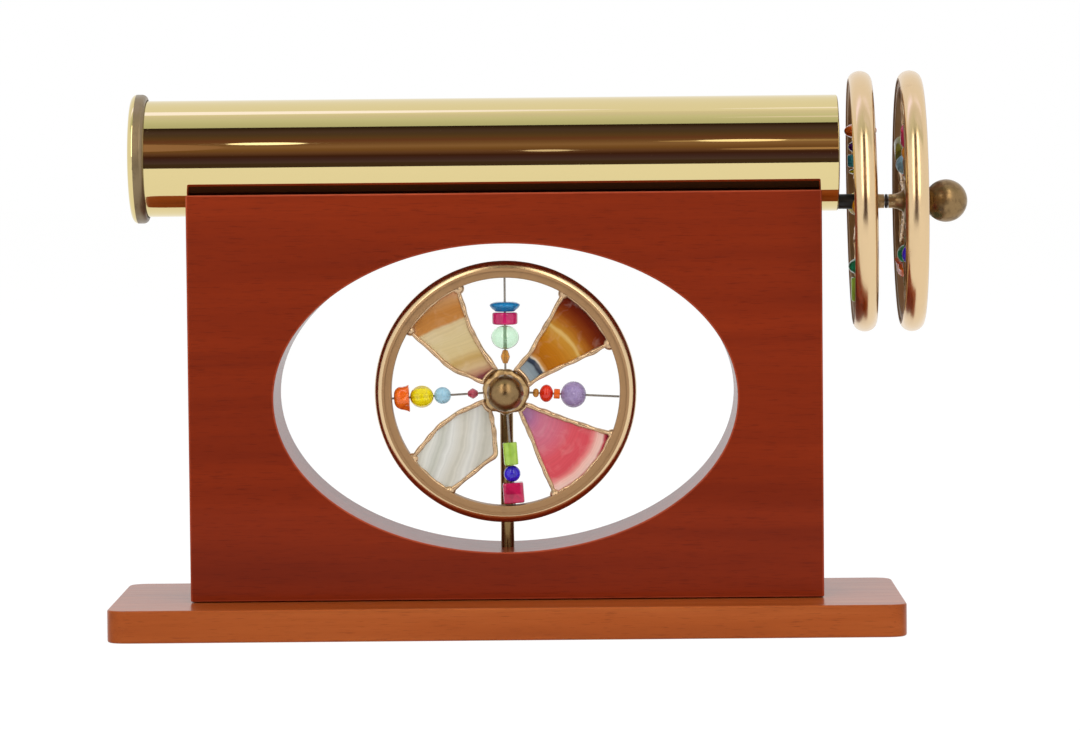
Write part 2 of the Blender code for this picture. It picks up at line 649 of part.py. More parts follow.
def build_scope() -> None:
    """The tube with its eyepiece, mirrors and object window, and the axle for the two wheels."""
    along_x = (0, math.radians(90), 0)
    scope = frame_at("scope_frame", (0, 0, TUBE_AXIS))
    axle_frame = frame_at("axle_frame", (0, 0, TUBE_AXIS - AXLE_DROP), along_x)
    place(turned(tube_profile(), TUBE_STEPS), "tube", scope, rotation=along_x, finish=BRASS)
    place(turned(cap_profile(), TUBE_STEPS), "eyepiece_cap", scope, location=(CAP_REAR, 0, 0),
          rotation=along_x, finish=BRASS)
    place(rod(INSERT_RADIUS, TUBE_REAR, LENS_FRONT, DISC_STEPS), "eyepiece_lens", scope,
          rotation=along_x, finish=CLEAR_GLASS)
    notch = place(rod(AXLE_BORE_RADIUS, TUBE_FRONT - AXLE_SOLDERED_LENGTH - TOUCH_GAP,
                      TUBE_FRONT + CUT_OVERRUN, ROD_STEPS), "axle_notch_cutter", axle_frame)
    build_mirrors(scope)

    glass = place(rod(INSERT_RADIUS, GLASS_REAR, GLASS_FRONT, DISC_STEPS), "object_window", scope,
                  rotation=along_x, finish=CLEAR_GLASS)
    flat_depth = INSERT_RADIUS - AXLE_DROP + AXLE_BORE_RADIUS
    flat = place(block((2 * GLASS_THICKNESS, 2 * INSERT_RADIUS, 2 * flat_depth),
                       ((GLASS_REAR + GLASS_FRONT) / 2, 0, -INSERT_RADIUS)), "glass_flat_cutter", scope)
    apply_boolean(glass, flat)
    retainer = place(ring(INSERT_RADIUS, INSERT_RADIUS - RETAINER_RING_WIDTH, RETAINER_REAR, TUBE_FRONT,
                          DISC_STEPS), "window_retainer", scope, rotation=along_x, finish=BRASS)
    apply_boolean(retainer, notch)

    place(rod(AXLE_RADIUS, TUBE_FRONT - AXLE_SOLDERED_LENGTH, KNOB_FLAT + KNOB_BORE_DEPTH - TOUCH_GAP,
              ROD_STEPS), "scope_axle", axle_frame, finish=STEEL)
    place(ring(SLEEVE_RADIUS, AXLE_BORE_RADIUS, TUBE_FRONT + TOUCH_GAP,
               NEAR_WHEEL - HUB_DISC_THICKNESS / 2 - TOUCH_GAP, ROD_STEPS),
          "axle_sleeve", axle_frame, finish=BLACK_PLASTIC)
    place(ring(AXLE_BORE_RADIUS + HUB_TIP_WALL, AXLE_BORE_RADIUS, SPACER_CENTRE - SPACER_LENGTH / 2,
               SPACER_CENTRE + SPACER_LENGTH / 2, ROD_STEPS),
          "wheel_spacer", axle_frame, finish=BLACK_PLASTIC)
    place(knob_mesh(KNOB_DIAMETER, KNOB_BORE_DEPTH), "axle_knob", axle_frame,
          location=(0, 0, KNOB_FLAT), finish=AGED_BRASS)


# Wheels

def rim_profile() -> list:
    """A channel section: a half-round bead outside and two flat legs inside."""
    shoulder = RIM_INNER_RADIUS + RIM_LEG_DEPTH
    leg = RIM_WIDTH / 2 - RIM_LEG_STEP
    bead = arc((shoulder, 0), (RIM_OUTER_RADIUS - shoulder, RIM_WIDTH / 2), 90, -90, RIM_ARC_STEPS)
    return [(RIM_INNER_RADIUS, leg), (shoulder, leg), *bead, (shoulder, -leg), (RIM_INNER_RADIUS, -leg)]


def hub_profile(rear_reach: float, front_reach: float) -> list:
    """A domed disc with a flared cone on each side that reaches past it."""
    disc = HUB_DISC_THICKNESS / 2
    edge = HUB_DISC_EDGE_THICKNESS / 2
    tip = AXLE_BORE_RADIUS + HUB_TIP_WALL
    cone = tip + HUB_CONE_RISE
    rise, along = HUB_FLARE_SHARES
    bend = tip + rise * HUB_CONE_RISE
    front, rear = [], []
    if front_reach > disc:
        front = [(tip, front_reach), (bend, disc + along * (front_reach - disc))]
    if rear_reach > disc:
        rear = [(bend, -disc - along * (rear_reach - disc)), (tip, -rear_reach)]
    return [
        (AXLE_BORE_RADIUS, front_reach), *front, (cone, disc), (HUB_RADIUS, edge),
        (HUB_RADIUS, -edge), (cone, -disc), *rear, (AXLE_BORE_RADIUS, -rear_reach),
    ]


def bead_side(bead: Bead) -> list:
    """One bead's side, from its outer end to its inner end."""
    bottom = HUB_RADIUS + bead.inner_share * WIRE_SPAN + TOUCH_GAP / 2
    top = HUB_RADIUS + bead.outer_share * WIRE_SPAN - TOUCH_GAP / 2
    radius = bead.width_share * WIRE_SPAN / 2
    mouth = WIRE_RADIUS + BEAD_MOUTH_WALL
    middle = (top + bottom) / 2
    if bead.form == "round":
        end = math.degrees(math.acos(mouth / radius))
        half = (top - bottom) / 2 / math.sin(math.radians(end))
        return arc((0, middle), (radius, half), end, -end, BEAD_ARC_STEPS)
    if bead.form == "drum":
        ease = BEAD_EDGE_SHARE * 2 * radius
        return [(radius - ease, top), (radius, top - ease), (radius, bottom + ease), (radius - ease, bottom)]
    if bead.form == "bicone":
        return [(mouth, top), (radius, middle), (mouth, bottom)]
    bell = [(2 * radius * across, bottom + along * (top - bottom)) for across, along in BELL_PROFILE_SHARES]
    return [(mouth, top), *bell]


def spoke_profile(spoke: Spoke) -> list:
    """A spoke wire with its beads, from its end at the rim to its end at the hub."""
    rim_end = RIM_INNER_RADIUS - TOUCH_GAP
    hub_end = HUB_RADIUS + TOUCH_GAP
    profile = [(0, rim_end), (WIRE_RADIUS, rim_end)]
    for bead in spoke.beads:
        side = bead_side(bead)
        profile += [(WIRE_RADIUS, side[0][1]), *side, (WIRE_RADIUS, side[-1][1])]
    return [*profile, (WIRE_RADIUS, hub_end), (0, hub_end)]


def round_points(radius: float, start: float, end: float, steps: int) -> list:
    """Points on a circle about the axle."""
    return arc((0, 0), (radius, radius), start, end, steps)


def panel_outline(shape: PanelShape, turn: float) -> list:
    """A panel's edge with its foil: along the rim, in to the hub, and out again."""
    inner_start, inner_end = shape.inner_degrees
    half_step = math.radians(abs(inner_end - inner_start) / PANEL_HUB_STEPS / 2)
    joint_radius = (HUB_RADIUS - FOIL_WALL) / math.cos(half_step)
    outline = round_points(RIM_INNER_RADIUS - TOUCH_GAP, shape.outer_degrees[0] + turn,
                           shape.outer_degrees[1] + turn, PANEL_RIM_STEPS)
    for degrees, share in shape.far_side_shares:
        outline += round_points(HUB_RADIUS + share * WIRE_SPAN, degrees + turn, degrees + turn, 1)[:1]
    outline += round_points(joint_radius, inner_start + turn, inner_end + turn, PANEL_HUB_STEPS)
    for degrees, share in shape.near_side_shares:
        outline += round_points(HUB_RADIUS + share * WIRE_SPAN, degrees + turn, degrees + turn, 1)[:1]
    return outline


def build_wheel(name: str, frame: bpy.types.Object, skew: tuple, turn: float, spokes: tuple,
                reaches: tuple, bead_steps: int, foil_round: float) -> None:
    """A rim, a hub soldered to four foil frames, four panels in them and four beaded wires.

    The wheel turns about the frame's Z. The hub is square to it, and the rest lies in a skewed plane.
    """
    plane = frame_at(name + "_plane", (0, 0, 0), (*skew, 0))
    plane.parent = frame
    place(turned(rim_profile(), RIM_STEPS), name + "_rim", plane, finish=BRASS)
    hub = place(turned(hub_profile(*reaches), HUB_STEPS), name + "_hub", frame, finish=AGED_BRASS)
    foil_outlines, groove_outlines = [], []
    for number, (shape, finish) in enumerate(zip(PANEL_SHAPES, PANEL_FINISHES), 1):
        edge = panel_outline(shape, turn)
        glass_edge = inset(edge, FOIL_WALL + TOUCH_GAP)
        foil_outlines += [edge, inset(glass_edge, FOIL_LAP)]
        groove_outlines.append(inset(edge, FOIL_WALL))
        place(flat_piece([glass_edge], PANEL_THICKNESS), f"{name}_panel_{number}", plane, finish=finish)
    groove_width = PANEL_THICKNESS + 2 * TOUCH_GAP
    foil = place(flat_piece(foil_outlines, groove_width + 2 * FOIL_LIP, foil_round), name + "_foil_shape", plane)
    groove = place(flat_piece(groove_outlines, groove_width), name + "_groove_cutter", plane)
    apply_boolean(foil, groove)
    apply_boolean(hub, foil, "UNION")

    for number, (spoke, finish) in enumerate(zip(spokes, BEAD_FINISHES), 1):
        place(turned(spoke_profile(spoke), bead_steps), f"{name}_spoke_{number}", plane,
              rotation=(0, math.radians(90), math.radians(spoke.degrees + turn)), finish=finish)


def build_wheels() -> None:
    """The two wheels on the scope's axle and the one on display."""
    facing_x = (math.radians(90), 0, math.radians(90))
    axle = TUBE_AXIS - AXLE_DROP
    disc = HUB_DISC_THICKNESS / 2
    near = frame_at("near_wheel_axis", (NEAR_WHEEL, 0, axle), facing_x)
    far = frame_at("far_wheel_axis", (FAR_WHEEL, 0, axle), facing_x)
    display = frame_at("display_wheel_axis", (0, -DISPLAY_WHEEL_FORWARD, DISPLAY_AXLE_HEIGHT),
                       (math.radians(90), 0, 0))
    build_wheel("near_wheel", near, NEAR_WHEEL_SKEW, 0, NEAR_SPOKES, (disc, HUB_INNER_REACH),
                SIDE_BEAD_STEPS, 0)
    build_wheel("far_wheel", far, FAR_WHEEL_SKEW, 40, FAR_SPOKES, (HUB_INNER_REACH, HUB_KNOB_REACH),
                SIDE_BEAD_STEPS, 0)
    build_wheel("display_wheel", display, DISPLAY_WHEEL_SKEW, 0, DISPLAY_SPOKES,
                (disc, DISPLAY_HUB_REACH), SHOWN_BEAD_STEPS, FOIL_EDGE_ROUND)


build_stand()
build_display_post()
build_scope()
build_wheels()
bpy.context.view_layer.update()
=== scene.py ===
"""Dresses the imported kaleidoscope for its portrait.

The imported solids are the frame. Each round, cast or soldered piece is worked out again here as a
smooth surface at the same place, each finish is a procedural material, and a plain pale studio
and a camera at the photograph's viewing angle close the scene. Metres, +Z up, +X along the tube.
"""

import dataclasses
import functools
import logging
import math
from dataclasses import dataclass
from enum import Enum
from typing import Callable, NamedTuple, Sequence

import bmesh
import bpy
import numpy as np
from mathutils import Matrix


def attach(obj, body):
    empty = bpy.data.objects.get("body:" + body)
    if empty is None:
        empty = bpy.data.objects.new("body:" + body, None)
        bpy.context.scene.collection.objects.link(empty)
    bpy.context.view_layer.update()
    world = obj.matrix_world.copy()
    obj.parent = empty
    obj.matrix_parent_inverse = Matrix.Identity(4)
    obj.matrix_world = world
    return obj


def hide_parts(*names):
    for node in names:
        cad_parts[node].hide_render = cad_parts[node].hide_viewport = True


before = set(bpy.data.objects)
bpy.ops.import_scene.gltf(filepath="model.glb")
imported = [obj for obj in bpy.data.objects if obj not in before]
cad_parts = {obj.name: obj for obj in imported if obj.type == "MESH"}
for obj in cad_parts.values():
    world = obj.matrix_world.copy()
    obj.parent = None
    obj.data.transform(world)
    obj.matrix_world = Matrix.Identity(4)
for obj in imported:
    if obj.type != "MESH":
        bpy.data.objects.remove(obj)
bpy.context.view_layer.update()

Array = np.ndarray
Stops = Sequence[tuple[float, str]]     # a ramp's positions and hex colours
LOG = logging.getLogger("kaleidoscope")

TURN = 2 * math.pi
WELD = 1e-7                     # points nearer than this are one
PHOTO_WIDTH = 1080
TOUCH_GAP = 0.0003              # between pieces that only touch
TUBE_AXIS = 0.155               # the tube's axis over the table
AXLE_HEIGHT = 0.13895           # the axle of the two wheels on the tube
NEAR_WHEEL_AT = 0.1174          # the wheels' middles along the tube
FAR_WHEEL_AT = 0.1333


# Colours and nodes

def linear(code: str) -> tuple[float, float, float, float]:
    """Turns an sRGB hex colour into the linear colour that the sockets hold.

    Args:
        code: The colour as "#RRGGBB".

    Returns:
        Linear red, green, blue and an alpha of 1.
    """
    values = [int(code[start:start + 2], 16) / 255 for start in (1, 3, 5)]
    red, green, blue = (v / 12.92 if v <= 0.04045 else ((v + 0.055) / 1.055) ** 2.4 for v in values)
    return red, green, blue, 1.0


def add_node(tree: bpy.types.NodeTree, kind: str, inputs: dict | None = None, stops: Stops = (),
             **settings: object) -> bpy.types.Node:
    """Adds one node with its settings, its links and the stops of its ramp.

    Args:
        tree: The node tree that gets the node.
        kind: Blender's type name of the node, after "ShaderNode".
        inputs: Socket name or number to a value, an output, or a node whose first output is linked.
        stops: The stops of a colour ramp.
        settings: Properties of the node itself.

    Returns:
        The new node.
    """
    made = tree.nodes.new("ShaderNode" + kind)
    for name, value in settings.items():
        setattr(made, name, value)
    for key, value in (inputs or {}).items():
        if isinstance(value, bpy.types.Node):
            value = value.outputs[0]
        if isinstance(value, bpy.types.NodeSocket):
            tree.links.new(value, made.inputs[key])
        else:
            made.inputs[key].default_value = value
    for number, (position, code) in enumerate(stops):
        elements = made.color_ramp.elements
        stop = elements[number] if number < len(elements) else elements.new(position)
        stop.position = position
        stop.color = linear(code)
    return made


def blank_material(name: str) -> tuple[bpy.types.Material, bpy.types.NodeTree]:
    """Makes a material without nodes, and gives it and its node tree."""
    material = bpy.data.materials.new(name)
    material.use_nodes = True
    material.node_tree.nodes.clear()
    return material, material.node_tree


# Surfaces

class Patch(NamedTuple):
    """A grid of points, and whether its rows and its columns close on themselves."""

    grid: Array
    wrap_rows: bool = False
    wrap_columns: bool = True


def grid_faces(patch: Patch, first: int) -> Array:
    """Quads of a grid: each cell joins its point to the next column, next row and back.

    Args:
        patch: The grid.
        first: Number of the grid's first point in the mesh.

    Returns:
        One row of four point numbers for each quad.
    """
    rows, columns = patch.grid.shape[:2]
    row = np.arange(rows if patch.wrap_rows else rows - 1)[:, None]
    column = np.arange(columns if patch.wrap_columns else columns - 1)[None, :]
    below, beside = (row + 1) % rows, (column + 1) % columns
    corners = np.broadcast_arrays(row * columns + column, row * columns + beside, below * columns + beside,
                                  below * columns + column)
    return first + np.stack(corners, -1).reshape(-1, 4)


def mesh_of(name: str, patches: Sequence[Patch], crease: float) -> bpy.types.Mesh:
    """Makes one mesh of several grids, closes their poles and turns their faces outwards.

    Args:
        name: The mesh's name.
        patches: The grids.
        crease: Angle in degrees over which an edge stays sharp.

    Returns:
        The mesh, shaded smooth.
    """
    points, faces, first = [], [], 0
    for patch in patches:
        points.append(patch.grid.reshape(-1, 3))
        faces.append(grid_faces(patch, first))
        first += len(points[-1])
    mesh = bpy.data.meshes.new(name)
    mesh.from_pydata(np.concatenate(points).tolist(), [], np.concatenate(faces).tolist())
    shape = bmesh.new()
    shape.from_mesh(mesh)
    bmesh.ops.remove_doubles(shape, verts=shape.verts, dist=WELD)
    bmesh.ops.recalc_face_normals(shape, faces=shape.faces)
    shape.to_mesh(mesh)
    shape.free()
    mesh.shade_smooth()
    mesh.set_sharp_from_angle(angle=math.radians(crease))
    return mesh


def rounded(corners: Array | Sequence, radii: float | Array | Sequence, steps: int, closed: bool) -> Array:
    """Eases each corner C by a parabola (1-t)^2 A + 2t(1-t) C + t^2 B.

    A and B lie on the corner's two sides, one radius from it, or not quite halfway along a short
    side. The ends of an open line stay where they are.

    Args:
        corners: One row for each corner.
        radii: How far the easing reaches from each corner.
        steps: Parts of each easing.
        closed: Whether the last corner joins the first.

    Returns:
        The eased line's points.
    """
    corners = np.asarray(corners, float)
    reach = np.broadcast_to(np.asarray(radii, float), len(corners)).copy()
    if not closed:
        reach[[0, -1]] = 0
    sides = []
    for other in (np.roll(corners, 1, 0), np.roll(corners, -1, 0)):
        way = other - corners
        length = np.linalg.norm(way, axis=1, keepdims=True)
        cut = np.minimum(reach[:, None], 0.48 * length)
        sides.append(corners + way / np.maximum(length, WELD) * cut)
    t = np.linspace(0, 1, steps + 1)[None, :, None]
    line = (1 - t) ** 2 * sides[0][:, None] + 2 * t * (1 - t) * corners[:, None] + t ** 2 * sides[1][:, None]
    line = line.reshape(-1, corners.shape[1])
    apart = np.linalg.norm(line - np.roll(line, 1, 0), axis=1) > WELD
    apart[0] |= not closed
    return line[apart]


def resampled(line: Array, count: int) -> Array:
    """Spreads points evenly along a closed line by interpolating over its running length.

    Args:
        line: The closed line's points.
        count: How many points to spread.

    Returns:
        The evenly spread points.
    """
    loop = np.vstack([line, line[:1]])
    run = np.concatenate([[0], np.cumsum(np.linalg.norm(np.diff(loop, axis=0), axis=1))])
    at = np.linspace(0, run[-1], count, endpoint=False)
    return np.stack([np.interp(at, run, loop[:, axis]) for axis in range(line.shape[1])], -1)


def inward_normals(loop: Array) -> Array:
    """Unit vectors to the left of an anticlockwise loop: the tangent turned by a quarter."""
    tangent = np.roll(loop, -1, 0) - np.roll(loop, 1, 0)
    tangent /= np.linalg.norm(tangent, axis=1, keepdims=True)
    return np.stack([-tangent[:, 1], tangent[:, 0]], -1)


def ripples(points: Array, wavelength: float, seed: int, waves: int = 18) -> Array:
    """Smooth random relief: the sum of cosines along random directions, over the root of their count.

    Args:
        points: Where the relief is wanted, as rows of x, y and z.
        wavelength: Middle wavelength in metres.
        seed: Which relief.
        waves: How many cosines.

    Returns:
        One height for each point, mostly between -1 and 1.
    """
    draw = np.random.default_rng(seed)
    ways = draw.normal(size=(3, waves))
    ways *= TURN / wavelength * draw.uniform(0.6, 1.5, waves) / np.linalg.norm(ways, axis=0)
    phase = draw.uniform(0, TURN, waves)
    return np.cos(points @ ways + phase).sum(-1) / math.sqrt(waves)


def carried(points: Array, place: Matrix) -> Array:
    """Points moved by a 4 x 4 matrix: its rotation times the point, plus its shift."""
    matrix = np.array(place)
    return points @ matrix[:3, :3].T + matrix[:3, 3]


def turned(profile: Array, place: Matrix, steps: int, closed: bool = False) -> Patch:
    """Turns a profile about an axis: (r, h) becomes (r cos a, r sin a, h), a from 0 to a full turn.

    Args:
        profile: Rows of radius and height.
        place: Puts the turning axis, which is Z, where the piece is.
        steps: How many directions round the axis.
        closed: Whether the profile's end joins its start.

    Returns:
        A grid with a row for each point of the profile.
    """
    angle = np.linspace(0, TURN, steps, endpoint=False)[None, :]
    radius, height = np.asarray(profile)[:, :1], np.asarray(profile)[:, 1:]
    grid = np.stack([radius * np.cos(angle), radius * np.sin(angle), height + 0 * angle], -1)
    return Patch(carried(grid, place), closed)


def ball(centres: Array, radii: Array, steps: int) -> list[Patch]:
    """Ellipsoids: centre plus radii times (sin b cos a, sin b sin a, cos b).

    Args:
        centres: One row for each ellipsoid.
        radii: Its three radii, one row each.
        steps: Directions round each.

    Returns:
        One patch for each ellipsoid.
    """
    round_angle = np.linspace(0, TURN, steps, endpoint=False)[None, :]
    down = np.linspace(0, math.pi, steps // 2 + 1)[:, None]
    unit = np.stack([np.sin(down) * np.cos(round_angle), np.sin(down) * np.sin(round_angle),
                     np.cos(down) + 0 * round_angle], -1)
    return [Patch(centre + radius * unit) for centre, radius in zip(centres, radii)]


def arc(centre: tuple[float, float], radii: tuple[float, float], start: float, end: float,
        steps: int) -> Array:
    """Points of an ellipse's arc: centre + (a cos t, b sin t), t in degrees from start to end."""
    t = np.radians(np.linspace(start, end, steps + 1))
    return np.stack([centre[0] + radii[0] * np.cos(t), centre[1] + radii[1] * np.sin(t)], -1)


# Finishes

@dataclass(frozen=True)
class Finish:
    """What a surface is made of and how it was worked."""

    name: str
    slot: str

    def surface(self, tree: bpy.types.NodeTree, place: bpy.types.NodeSocket) -> dict:
        """Adds the finish's pattern nodes.

        Args:
            tree: The material's nodes.
            place: Object coordinates.

        Returns:
            What goes on the shader's sockets: name to value, output or node.
        """
        raise NotImplementedError


@dataclass(frozen=True)
class LacqueredWood(Finish):
    """Planed mahogany, stained and brushed with satin lacquer: dark open pores under a thin gloss."""

    pale: str
    middle: str
    dark: str
    pore: str
    figure_size: tuple[float, float] = (0.16, 0.009)    # a band of tone along the grain and across
    fibre_size: tuple[float, float] = (0.035, 0.0008)
    pore_size: tuple[float, float] = (0.006, 0.00032)   # coarser than the real 0.2 mm, so that it shows
    pore_depth: float = 0.00003
    lacquer_ior: float = 1.16       # low, because satin lacquer mirrors little face on, yet much at a glance
    coat: float = 0.30

    def surface(self, tree: bpy.types.NodeTree, place: bpy.types.NodeSocket) -> dict:
        """Tone bands, fine fibres and sunk dark pores: three noises stretched along X, the grain."""
        grains = []
        for (length, width), detail in ((self.figure_size, 4), (self.fibre_size, 3), (self.pore_size, 1)):
            scale = (1 / length, 1 / width, 1 / width)
            stretch = add_node(tree, "Mapping", {"Vector": place, "Scale": scale})
            grains.append(add_node(tree, "TexNoise", {"Vector": stretch, "Scale": 1.0, "Detail": detail,
                                                      "Roughness": 0.55, "Distortion": 0.25}))
        figure, fibre, pore = grains
        tone = add_node(tree, "ValToRGB", {"Fac": figure},
                        ((0.30, self.dark), (0.50, self.middle), (0.72, self.pale)))
        streak = add_node(tree, "MapRange",
                          {"Value": fibre, "From Min": 0.42, "From Max": 0.68, "To Max": 0.30})
        fibred = add_node(tree, "Mix", {0: streak, 6: tone, 7: linear(self.dark)}, data_type="RGBA")
        opened = add_node(tree, "MapRange",
                          {"Value": pore, "From Min": 0.60, "From Max": 0.70, "To Max": 0.40})
        pored = add_node(tree, "Mix", {0: opened, 6: fibred.outputs[2], 7: linear(self.pore)},
                         data_type="RGBA")
        gloss = add_node(tree, "MapRange", {"Value": fibre, "To Min": 0.26, "To Max": 0.40})
        relief = add_node(tree, "Bump", {"Height": opened, "Strength": 0.6, "Distance": self.pore_depth},
                          invert=True)
        return {"Base Color": pored.outputs[2], "Roughness": gloss, "Normal": relief, "IOR": self.lacquer_ior,
                "Coat Weight": self.coat, "Coat Roughness": 0.06, "Coat IOR": self.lacquer_ior}


@dataclass(frozen=True)
class WorkedMetal(Finish):
    """A metal surface with its polish, its tarnish and its fine tool marks."""

    bright: str
    tarnish: str
    tarnish_share: float            # how much of the surface has turned, 0 to 1
    gloss: tuple[float, float]      # roughness where it is clean and where it has turned
    patch_size: float = 0.006       # size of a tarnished patch
    mark_size: tuple[float, float, float] = (0.02, 0.0006, 0.0006)
    mark_depth: float = 0.000002
    lump_size: float = 0.0015
    lump_depth: float = 0.0
    metallic: float = 1.0           # less where oxide dulls the metal

    def surface(self, tree: bpy.types.NodeTree, place: bpy.types.NodeSocket) -> dict:
        """Clean metal with turned patches, tool marks along one way and, on solder, small lumps."""
        patch = add_node(tree, "TexNoise", {"Vector": place, "Scale": 1 / self.patch_size, "Detail": 5.0,
                                            "Roughness": 0.6, "Distortion": 0.3})
        turned_from = 0.75 - 0.45 * self.tarnish_share
        aged = add_node(tree, "MapRange", {"Value": patch, "From Min": turned_from,
                                           "From Max": turned_from + 0.18, "To Max": self.tarnish_share})
        colour = add_node(tree, "Mix", {0: aged, 6: linear(self.bright), 7: linear(self.tarnish)},
                          data_type="RGBA")
        worn = add_node(tree, "MapRange", {"Value": patch, "From Min": 0.35, "From Max": 0.70,
                                           "To Min": self.gloss[0], "To Max": self.gloss[1]})
        stretch = add_node(tree, "Mapping",
                           {"Vector": place, "Scale": tuple(1 / size for size in self.mark_size)})
        marks = add_node(tree, "TexNoise", {"Vector": stretch, "Scale": 1.0, "Detail": 2.0})
        relief = add_node(tree, "Bump", {"Height": marks, "Strength": 0.5, "Distance": self.mark_depth})
        if self.lump_depth:
            lumps = add_node(tree, "TexNoise", {"Vector": place, "Scale": 1 / self.lump_size, "Detail": 2.0})
            relief = add_node(tree, "Bump", {"Height": lumps, "Strength": 1.0, "Distance": self.lump_depth,
                                             "Normal": relief})
        return {"Base Color": colour.outputs[2], "Roughness": worn, "Normal": relief,
                "Metallic": self.metallic}


@dataclass(frozen=True)
class BeadGlass(Finish):
    """Lampworked or pressed bead glass: clear or milky colour with faint swirls under a fire polish."""

    colour: str
    swirl: str
    clear: float                    # share of the light that goes through
    gloss: float = 0.04
    swirl_size: float = 0.004
    frost: float = 0.0              # depth of a crackled skin
    crackle_size: float = 0.0011

    def surface(self, tree: bpy.types.NodeTree, place: bpy.types.NodeSocket) -> dict:
        """Swirled colour in a glossy body that lets part of the light through."""
        noise = add_node(tree, "TexNoise", {"Vector": place, "Scale": 1 / self.swirl_size, "Detail": 3.0,
                                            "Distortion": 1.2})
        amount = add_node(tree, "MapRange",
                          {"Value": noise, "From Min": 0.45, "From Max": 0.70, "To Max": 0.70})
        colour = add_node(tree, "Mix", {0: amount, 6: linear(self.colour), 7: linear(self.swirl)},
                          data_type="RGBA")
        sockets = {"Base Color": colour.outputs[2], "Roughness": self.gloss, "IOR": 1.5,
                   "Transmission Weight": self.clear}
        if self.frost:
            skin = add_node(tree, "TexVoronoi", {"Vector": place, "Scale": 1 / self.crackle_size},
                            feature="DISTANCE_TO_EDGE")
            sockets["Normal"] = add_node(tree, "Bump", {"Height": skin.outputs["Distance"], "Strength": 0.8,
                                                        "Distance": self.frost})
        return sockets


@dataclass(frozen=True)
class AgateSlice(Finish):
    """A sawn and polished agate slice: curved growth bands with fine lines between them."""

    nucleus: tuple[float, float]    # where the bands centre, in the wheel's plane
    span: tuple[float, float]       # nearest and farthest distance that the ramp covers
    bands: Stops
    line_width: float = 0.0007      # spacing of the fine growth lines
    line_depth: float = 0.08        # how much darker a line is
    sway: float = 0.0022            # how far the bands wander
    sway_size: float = 0.008
    clear: float = 0.12
    milk: float = 0.12              # how far pale clouds veil the bands
    cloud_size: float = 0.005
    seat: tuple[float, ...] = (0.0,) * 6    # the wheel's centre and the turns of its plane

    def surface(self, tree: bpy.types.NodeTree, place: bpy.types.NodeSocket) -> dict:
        """Bands by the swayed distance from the nucleus, darkened along fine lines and clouded."""
        local = add_node(tree, "Mapping", {"Vector": place, "Location": self.seat[:3],
                                           "Rotation": self.seat[3:]}, vector_type="TEXTURE")
        wander = add_node(tree, "TexNoise", {"Vector": local, "Scale": 1 / self.sway_size, "Detail": 3.0,
                                             "Roughness": 0.5})
        level = add_node(tree, "VectorMath", {0: wander.outputs["Color"], 1: (0.5, 0.5, 0.5)},
                         operation="SUBTRACT")
        shift = add_node(tree, "VectorMath", {0: level, "Scale": 2 * self.sway}, operation="SCALE")
        swayed = add_node(tree, "VectorMath", {0: local, 1: shift}, operation="ADD")
        away = add_node(tree, "VectorMath", {0: swayed, 1: (*self.nucleus, 0.0)},
                        operation="DISTANCE").outputs["Value"]
        along = add_node(tree, "MapRange",
                         {"Value": away, "From Min": self.span[0], "From Max": self.span[1]})
        bands = add_node(tree, "ValToRGB", {"Fac": along}, self.bands)
        count = add_node(tree, "Math", {0: away, 1: 1 / self.line_width}, operation="MULTIPLY")
        line = add_node(tree, "TexNoise", {"W": count, "Scale": 1.0, "Detail": 2.0}, noise_dimensions="1D")
        darker = add_node(tree, "MapRange", {"Value": line, "From Min": 0.35, "From Max": 0.65,
                                             "To Min": 1 - self.line_depth, "To Max": 1.0})
        lined = add_node(tree, "VectorMath", {0: bands, "Scale": darker}, operation="SCALE")
        cloud = add_node(tree, "TexNoise", {"Vector": local, "Scale": 1 / self.cloud_size, "Detail": 4.0,
                                            "Distortion": 0.8})
        milk = add_node(tree, "MapRange",
                        {"Value": cloud, "From Min": 0.5, "From Max": 0.8, "To Max": self.milk})
        clouded = add_node(tree, "Mix", {0: milk, 6: lined, 7: linear("#F2E8DC")}, data_type="RGBA")
        return {"Base Color": clouded.outputs[2], "Roughness": 0.10, "IOR": 1.54,
                "Transmission Weight": self.clear}


@dataclass(frozen=True)
class FlatGlass(Finish):
    """Clear sheet glass or silvered mirror glass, with the faint haze of handling."""

    tint: str
    metallic: float
    clear: float

    def surface(self, tree: bpy.types.NodeTree, place: bpy.types.NodeSocket) -> dict:
        """A clean glossy sheet whose haze varies a little."""
        haze = add_node(tree, "TexNoise", {"Vector": place, "Scale": 1 / 0.012, "Detail": 4.0})
        gloss = add_node(tree, "MapRange", {"Value": haze, "To Min": 0.005, "To Max": 0.05})
        return {"Base Color": linear(self.tint), "Roughness": gloss, "Metallic": self.metallic, "IOR": 1.5,
                "Transmission Weight": self.clear}


@dataclass(frozen=True)
class GrainySolid(Finish):
    """A dull solid with a fine grain: pressed cork or moulded acetal."""

    colour: str
    fleck: str
    grain_size: float
    grain_depth: float
    gloss: float

    def surface(self, tree: bpy.types.NodeTree, place: bpy.types.NodeSocket) -> dict:
        """Flecks of a second colour and a shallow grain."""
        noise = add_node(tree, "TexNoise", {"Vector": place, "Scale": 1 / self.grain_size, "Detail": 3.0})
        amount = add_node(tree, "MapRange", {"Value": noise, "From Min": 0.45, "From Max": 0.65})
        colour = add_node(tree, "Mix", {0: amount, 6: linear(self.colour), 7: linear(self.fleck)},
                          data_type="RGBA")
        relief = add_node(tree, "Bump", {"Height": noise, "Strength": 0.6, "Distance": self.grain_depth})
        return {"Base Color": colour.outputs[2], "Roughness": self.gloss, "Normal": relief}


